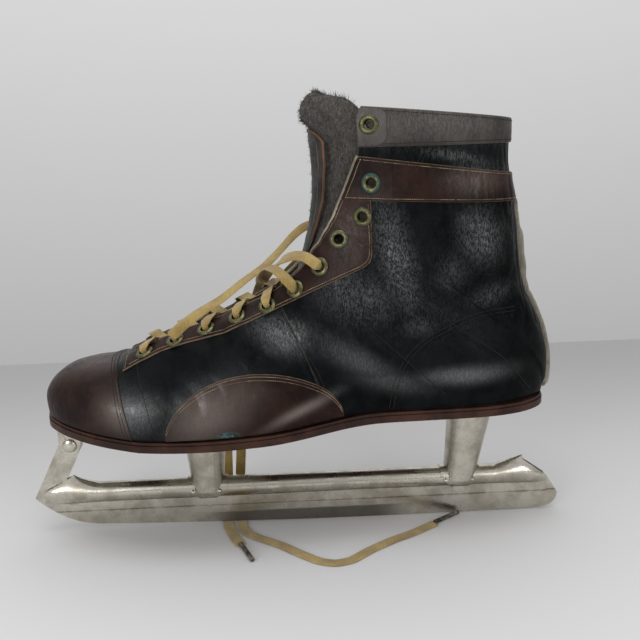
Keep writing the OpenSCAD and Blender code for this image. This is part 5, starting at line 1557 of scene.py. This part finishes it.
# %% Flap of the tongue
# The flap's arc, its lean above the fold as height and x, and its width there as a share
FLAP_R = 32
FLAP_LINE = np.array([
    [-8, -3], [0, 0], [6, 1.5], [14, 3.6], [28, 7.4], [42, 9.7], [59, 10], [70, 9], [95, 7],
])
FLAP_SHARE = np.array([[0, 0.39], [10, 0.47], [20, 0.62], [30, 0.71], [45, 0.85], [60, 0.94], [80, 1]])
TONGUE_HALF = 21.6
fold = last_point(BASE_T[1], 0.0) + TONGUE_OUT * outward(BASE_T[1], 0.0)
TONGUE_TOP = FOOT_Z + 162 - fold[2]
# How far the top edge falls at the sides, and how late that fall begins
LEATHER_CROWN = (7, 3)


def flap_point(h, y, r):
    """A point on the flap: height above the fold, place across it and radius of its arc."""
    x = fold[0] + np.interp(h, FLAP_LINE[:, 0], FLAP_LINE[:, 1]) + FLAP_R - np.sqrt(r ** 2 - y ** 2)
    return np.stack([x, y, fold[2] + h], -1)


def flap_shares(rows, columns, half, top, crown):
    """Heights above the fold and places across the flap."""
    i, j = np.meshgrid(spaced(rows, 0.004), spaced(columns, 0.01), indexing="ij")
    v = 1 - 2 * j
    h = 0.3 + (top - 0.3 - crown[0] * np.abs(v) ** crown[1]) * i
    return h, v * half * np.interp(h, FLAP_SHARE[:, 0], FLAP_SHARE[:, 1]), i, v


def flap_leather():
    """The leather of the flap, wavy in the middle and curled at its sides. Returns its front."""
    h, y, i, v = flap_shares(70, 40, TONGUE_HALF, TONGUE_TOP, LEATHER_CROWN)
    front = flap_point(h, y, FLAP_R)
    waves = 0.45 * noise_at(front, 12) - 0.5 * ridges(front, 8, (1, 3, 1), 6)
    curl = 1.2 * np.abs(v) ** 6 * smooth((h - 30) / 30)
    front[..., 0] -= waves * smooth(h / 12) * (1 - np.abs(v) ** 8) + curl
    back = front + np.stack([np.full(h.shape, TONGUE_T), 0 * h, 0 * h], -1)
    front[..., 0] += edge_drop(h.shape, TONGUE_T)
    sheet_piece("tongue_flap", front, back, TONGUE, "black_leather", ["tongue_flap"], "tongue")
    return front


leather_front = flap_leather()
print("tongue leather top at", round(float(leather_front[..., 2].max()), 1))

# %% Felt of the tongue
FELT_HALF, FELT_T = 24.0, 5.0
FELT_TOP = FOOT_Z + 181 - fold[2]
FELT_CROWN = (19, 6)
# How far the felt's sides wrap back, by height above the fold
FELT_WRAP = np.array([[8, 0], [22, 4.5], [35, 9], [50, 12.5], [80, 13.5]])


def felt_round(away, reach, most):
    """How far a face of the felt sinks at a distance from its rim, so that the rim is round."""
    share = np.clip(1 - away / reach, 0, 1)
    return most * (1 - np.sqrt(1 - share ** 2 * 0.999))


def flap_felt():
    """The felt behind the flap: ragged at the top, clumped where it is open. Returns both faces."""
    h, y, i, v = flap_shares(150, 110, FELT_HALF, FELT_TOP, FELT_CROWN)
    across = np.stack([y, 0 * y, 0 * y], -1)
    ragged = noise_at(across, 5.5) + 0.7 * noise_at(across, 2.2)
    to_top = (1 - i) * (FELT_TOP - FELT_CROWN[0] * np.abs(v) ** FELT_CROWN[1])
    to_side = (1 - np.abs(v)) * FELT_HALF
    h = h + 1.2 * ragged * smooth(1 - to_top / 9)
    y = y * (1 + 0.025 * noise_at(np.stack([0 * h, 0 * h, h], -1), 6) * np.abs(v) ** 4)
    wrap = np.interp(h, FELT_WRAP[:, 0], FELT_WRAP[:, 1]) * smooth((np.abs(v) - 0.5) / 0.5)
    front = flap_point(h, y, FLAP_R - TONGUE_T - 0.15)
    back = flap_point(h, y * 0.93, FLAP_R - TONGUE_T - 0.15 - FELT_T)
    clumps = 0.75 * noise_at(front, 6) + 0.55 * noise_at(front, 2.4, (1, 1, 1.6))
    clumps = clumps - 0.6 * ridges(front, 3.0, (1, 1, 1.9), 5)
    leather_half = TONGUE_HALF * np.interp(h, FLAP_SHARE[:, 0], FLAP_SHARE[:, 1])
    above = smooth((h - TONGUE_TOP + 7 * np.abs(y / leather_half) ** 3) / 7)
    free = np.maximum(above, smooth((np.abs(y) - leather_half + 0.5) / 2)) * smooth((h - 20) / 15)
    bulge = 4.2 * above + 1.3 * clumps * free
    front[..., 0] += wrap - bulge + felt_round(to_top, 12, 8.0) + felt_round(to_side, 4, 2.2)
    back[..., 0] += wrap + 0.9 * clumps + felt_round(to_top, 12, 1.2) - felt_round(to_side, 4, 2.2)
    sheet_piece("tongue_flap_felt", front, back, FELT, "felt", ["tongue_flap_felt"], "tongue")
    return front, back


felt_front, felt_back = flap_felt()
print("felt top at", round(float(felt_front[..., 2].max()), 1))

# %% [markdown]
# ## Piping and binding
# A tan piping and a row of stitches trim the tongue, and a pale rolled strip covers the throat edge. Bevelled
# curves would do. Here they are tubes of rings, because their lines come from the rims of the pieces that
# they trim. The piping starts some way above the fold, so that it clears the laces when the tongue folds.

# %% Piping and stitches of the tongue
PIPE_R = 0.55
PIPE_FROM = 172.0
PIPE_SIDES = 8


def tube_mesh(line, radius, sides=PIPE_SIDES):
    """Points and faces of a round tube along a line. radius may change along it."""
    ahead = unit(np.gradient(line, axis=0))
    aside = unit(np.cross(ahead, [0.31, 0.17, 0.93]))
    third = np.cross(ahead, aside)
    angles = np.arange(sides) * 2 * math.pi / sides
    size = np.broadcast_to(np.asarray(radius, float), (len(line),))
    points = line[:, None] + size[:, None, None] * (
        np.cos(angles)[None, :, None] * aside[:, None] + np.sin(angles)[None, :, None] * third[:, None])
    return points.reshape(-1, 3), ring_faces(len(line), sides)


low = int((leather_front[:, 0, 2] < PIPE_FROM).sum())
rim_line = np.concatenate([leather_front[low:, 0], leather_front[-1, 1:], leather_front[-2:low:-1, -1]])
rim_line = soften(resample(rim_line, 0.8), 1.5) - np.array([0.15, 0, 0])
make("tongue_piping", *tube_mesh(rim_line, PIPE_R), PIPING, "black_leather", body="tongue")
inner_line = np.concatenate([leather_front[low:, 6], leather_front[-6, 7:-7], leather_front[-2:low:-1, -7]])
inner_line = soften(resample(inner_line, 0.8), 3) - np.array([0.1, 0, 0])
inner_row = [(inner_line, np.tile([-1.0, 0, 0], (len(inner_line), 1)))]
make("tongue_stitches", *stitch_mesh(inner_row), TAN_THREAD, "lace_cotton", body="tongue")
print("piping points:", len(rim_line))

# %% Binding of the throat
BINDING = leather("binding_leather", (0.15, 0.128, 0.096), (0.30, 0.265, 0.205), (0.3, 0.26, 0.2), 0.6,
                  (0.22, 0.2, 0.17), 0.2, 0.6).material
BINDING_R = 1.15


def throat_binding(side):
    """A narrow folded strip over the throat edge, from the ankle down to the vamp seam."""
    top = float(line_t(edge_q, ANKLE_HIGH))
    t = np.linspace(SEAM_TOP_T + 0.4, top, 260)
    line, _ = on_skin(t, side * (edge_q(t) + 0.001), 0.2)
    return tube_mesh(soften(resample(line, 0.6), 2), BINDING_R)


for name, side in sides("throat_binding"):
    make(name, *throat_binding(side), BINDING, "oxblood_leather")
print("binding radius:", BINDING_R, "mm")

# %% [markdown]
# ## Loose fibres
# Old felt sheds wool at its edges. Hair particles would draw it quickly, but they are no mesh and would be
# lost in the export. So each fibre is a real, very thin tube of three sides, bent a little. A fixed seed
# gives the same fibres each time.

# %% Loose fibres
FIBRE_COUNT = 3600


def fibres(front, back, count):
    """Stray wool fibres: every third one on the felt's open edges, the others over its upper face."""
    random = np.random.default_rng(7)
    points, faces = [], []
    first = front.shape[0] // 3
    edge = np.concatenate([front[first:, 0], front[-1], front[:first:-1, -1]])
    behind = np.concatenate([back[first:, 0], back[-1], back[:first:-1, -1]])
    centre = edge.mean(0)
    for n in range(count):
        if n % 3 == 0:
            k = random.integers(len(edge))
            root = mix(edge[k], behind[k], random.random())
            away = unit(root - centre + random.normal(0, 9, 3)) * random.uniform(0.8, 2.6)
        else:
            root = front[random.integers(first, front.shape[0]), random.integers(front.shape[1])]
            outer = 0.9 * np.sign(root[1]) * (abs(root[1]) > 12)
            away = unit(np.array([-0.9, outer, 0]) + random.normal(0, 0.8, 3))
            away = away * random.uniform(0.8, 2.0)
        bend = random.normal(0, 0.7, 3)
        line = np.stack([root + away * s + bend * s * s for s in (-0.2, 0.3, 0.65, 1.0)])
        p, f = tube_mesh(line, [0.11, 0.1, 0.08, 0.03], 3)
        faces += [[m + len(points) for m in face] for face in f]
        points += p.tolist()
    return points, faces


make("felt_fibres", *fibres(felt_front, felt_back, FIBRE_COUNT), FELT, "felt", body="tongue")
print("fibres:", FIBRE_COUNT)

# %% [markdown]
# ## Steel and soles
# Blade, tube, cups, plates and rivets are nickelled steel: warm grey, brushed along the blade and pitted,
# with a thin darker line along the steel at one height and bare dark steel near the ice. The soles are brown
# stacked leather, and the lace tags are worn tin. Their shapes are already right in the solids, so they keep
# them.
# Solids are loose triangles with sharp edges, which would look cut from paper. They could be modelled
# again, but three modifiers are enough: Weld joins the points, Bevel rounds the edges so that they catch
# the light, and Weighted Normal evens out the shading.

# %% Nickel
# In metres: the height of the thin darker line, and where the bare steel fades in upwards, in front and
# behind
DARK_LINE_Z = 0.0122
BARE_Z, BARE_FRONT, BARE_BACK = (0.0088, 0.0076), (-0.07, -0.035), (0.075, 0.045)


def nickel():
    """Worn nickel plate, brushed along the runner and pitted, with bare dark steel low on the blade."""
    paint = Paint("nickel", (0.48, 0.455, 0.40), 0.3, 1.0)
    tarnish = paint.noise(13, 6, 0.65)
    brushed = paint.noise(1.2, 4, 0.65, (16, 1, 0.7))
    pits = paint.noise(0.9, 3, 0.7)
    color = paint.blend(paint.span(tarnish, 0.35, 0.7), (0.61, 0.58, 0.505), (0.385, 0.352, 0.29))
    strokes = paint.math("MULTIPLY", paint.span(brushed, 0.55, 0.8), 0.35)
    color = paint.blend(strokes, color, (0.25, 0.235, 0.20))
    specks = paint.math("MULTIPLY", paint.span(pits, 0.63, 0.72), paint.span(tarnish, 0.45, 0.65))
    color = paint.blend(paint.math("MULTIPLY", specks, 0.8), color, (0.11, 0.075, 0.05))
    # A thin darker line along the steel at one height, stronger or weaker with the tarnish
    seam = paint.math("ABSOLUTE", paint.math("SUBTRACT", paint.axis("Z"), DARK_LINE_Z))
    darkening = paint.span(tarnish, 0.35, 0.6, 0.25, 0.8)
    dark_line = paint.math("MULTIPLY", paint.span(seam, 0.0007, 0.0002), darkening)
    color = paint.blend(dark_line, color, (0.15, 0.12, 0.09))
    uneven = paint.math("ADD", paint.axis("Z"), paint.math("MULTIPLY", tarnish, 0.0016))
    low = paint.span(uneven, *BARE_Z)
    x = paint.axis("X")
    mid = paint.math("MULTIPLY", paint.span(x, *BARE_FRONT), paint.span(x, *BARE_BACK))
    bare = paint.math("MULTIPLY", low, mid)
    paint.set("Base Color", paint.blend(paint.math("MULTIPLY", bare, 0.85), color, (0.085, 0.075, 0.068)))
    rough = paint.span(tarnish, 0.3, 0.72, 0.2, 0.37)
    dull = paint.math("MULTIPLY", paint.math("ADD", specks, bare), 0.2)
    paint.set("Roughness", paint.math("ADD", rough, dull))
    paint.set("Normal", paint.bump(pits, 0.07, 0.3, paint.bump(brushed, 0.08, 0.25)))
    return paint.material


NICKEL = nickel()
print("nickel is ready")

# %% Sole leather and tag metal
SOLE = leather("sole_leather", (0.021, 0.0085, 0.0056), (0.055, 0.022, 0.0135), (0.13, 0.07, 0.04), 0.42,
               (0.15, 0.08, 0.05), 0.5, 1.3).material


def tip_metal():
    """Dark worn tin."""
    paint = Paint("tip_metal", (0.11, 0.095, 0.08), 0.4, 1.0)
    wear = paint.noise(3, 5, 0.6)
    paint.set("Base Color", paint.blend(paint.span(wear, 0.4, 0.65), (0.06, 0.05, 0.042), (0.30, 0.27, 0.23)))
    paint.set("Normal", paint.bump(wear, 0.3, 0.5))
    return paint.material


TIP_METAL = tip_metal()
print("sole and tag finishes:", SOLE.name, TIP_METAL.name)

# %% Dress the solids
STEEL = [
    "runner", "tube", "front_saddle", "rear_saddle", "front_stanchion", "rear_stanchion", "front_sole_plate",
    "heel_plate", "toe_plate", "toe_brace", "brace_rivet", "front_plate_rivets", "heel_plate_rivets",
    "toe_plate_rivets", "shank",
]
SOLES = ["outsole", "welt", "insole"]
TIPS = ["long_lace_tip", "short_lace_tip"]


def dress(name, paint, bevel):
    """A material on a solid that is kept, its triangles joined, a narrow bevel and even shading."""
    obj = bpy.data.objects[name]
    obj.data.materials.clear()
    obj.data.materials.append(paint)
    obj.modifiers.new("join", "WELD").merge_threshold = 0.002 * MM
    edge = obj.modifiers.new("edge", "BEVEL")
    edge.width = bevel * MM
    edge.segments = 2
    edge.limit_method = "ANGLE"
    edge.angle_limit = math.radians(40)
    obj.modifiers.new("shading", "WEIGHTED_NORMAL").keep_sharp = False
    bpy.ops.object.select_all(action="DESELECT")
    obj.select_set(True)
    bpy.context.view_layer.objects.active = obj
    bpy.ops.object.shade_smooth()


for group, paint, bevel in ((STEEL, NICKEL, 0.25), (SOLES, SOLE, 0.6), (TIPS, TIP_METAL, 0.3)):
    for name in group:
        dress(name, paint, bevel)
print("kept solids:", len(STEEL + SOLES + TIPS))

# %% [markdown]
# ## Saddle pins
# A small domed pin stands at each corner of the saddles, where they grip the tube. A squashed ball would
# give the dome, but not its short straight side. So the pin is turned from its profile, like the eyelets,
# and copied to both sides of the blade.

# %% Saddle pins
# Radius and height of a domed pin head
PIN = turned([(1.35, -0.6), (1.35, 0.15), (1.15, 0.5), (0.75, 0.75), (0.3, 0.85)], 20, True)
PIN_X, PIN_Z, PIN_Y = (-63.4, -47.6, 88.6, 104.6), 23.6, 7.6
places = [[x, side * PIN_Y, PIN_Z] for x in PIN_X for side in (-1, 1)]
axes = [[[0, 0, 1], [side, 0, 0], [0, side, 0]] for x in PIN_X for side in (-1, 1)]
make("saddle_pins", *copies(PIN, places, axes), NICKEL, "nickel")
print("saddle pins:", len(places))

# %% [markdown]
# ## Floor and light
# The skate stands on a plain pale floor. An image could light it from all sides, but that would be a file
# from outside. One wide soft light hangs overhead instead, two smaller ones stand to the left and right of
# the camera, and the surround grows paler upwards and behind the skate. Together they give the long soft
# highlights on the tube, and on the leather along with its painted highlights. The floor's paint has painted
# shade towards its far edge, behind the skate.

# %% Floor
# In metres: the floor's size, where it ends behind the skate, how far in from its far edge the painted shade
# reaches, and its height, which is a hair under the blade so that the two don't flicker
FLOOR_SIZE = 6
FLOOR_END = 0.385
FLOOR_SHADE_REACH = 0.6
FLOOR_Z = -0.0003


def stage_paint(name, dark, light):
    """Matt paint with painted shade: darker over the last stretch of the plane."""
    paint = Paint(name, light, 0.7)
    far = FLOOR_SIZE / 2
    # Painted shade: the last stretch of the floor, behind the skate, is painted darker
    paint.set("Base Color", paint.blend(paint.span(paint.axis("Y"), far, far - FLOOR_SHADE_REACH), dark, light))
    return paint.material


FLOOR = stage_paint("floor", (0.36, 0.356, 0.362), (0.69, 0.687, 0.692))
bpy.ops.object.select_all(action="DESELECT")
bpy.ops.mesh.primitive_plane_add(size=FLOOR_SIZE, location=(0, FLOOR_END - FLOOR_SIZE / 2, FLOOR_Z))
floor = bpy.context.object
floor.name = "floor"
floor.data.materials.append(FLOOR)
print("floor ends at", FLOOR_END, "m behind the skate")


# %% Lights
def soft_light(name, place, target, size, power):
    """A rectangular light that faces a target. Sizes in metres, power in watts."""
    data = bpy.data.lights.new(name, "AREA")
    data.shape = "RECTANGLE"
    data.size, data.size_y = size
    data.energy = power
    lamp = bpy.data.objects.new(name, data)
    lamp.location = place
    lamp.rotation_euler = (Vector(target) - Vector(place)).to_track_quat("-Z", "Y").to_euler()
    bpy.context.collection.objects.link(lamp)


soft_light("overhead", (-0.1, -0.2, 1.4), (0, 0, 0.1), (0.9, 0.6), 4.8)
soft_light("window", (-0.75, -1.2, 0.5), (0, 0, 0.12), (0.5, 0.5), 5.2)
soft_light("right", (0.6, -1.15, 0.4), (0.05, 0, 0.1), (0.3, 0.4), 2.5)
print("lights: overhead, window and right")

# %% Surround
SURROUND = {"level": 0.40, "behind": 0.20, "above": 0.55}
world = bpy.data.worlds.new("surround")
world.use_nodes = True
nodes, links = world.node_tree.nodes, world.node_tree.links
way = nodes.new("ShaderNodeSeparateXYZ")
links.new(nodes.new("ShaderNodeTexCoord").outputs["Generated"], way.inputs[0])
# Paler behind the skate and overhead, dimmer on the camera's side
tilt = nodes.new("ShaderNodeMath")
tilt.operation = "MULTIPLY_ADD"
links.new(way.outputs["Y"], tilt.inputs[0])
tilt.inputs[1].default_value = SURROUND["behind"]
tilt.inputs[2].default_value = SURROUND["level"]
lift = nodes.new("ShaderNodeMath")
lift.operation = "MULTIPLY_ADD"
links.new(way.outputs["Z"], lift.inputs[0])
lift.inputs[1].default_value = SURROUND["above"]
links.new(tilt.outputs[0], lift.inputs[2])
links.new(lift.outputs[0], nodes["Background"].inputs["Color"])
nodes["Background"].inputs["Strength"].default_value = 1.0
bpy.context.scene.world = world
bpy.context.scene.view_settings.view_transform = "Standard"
print("surround:", SURROUND)
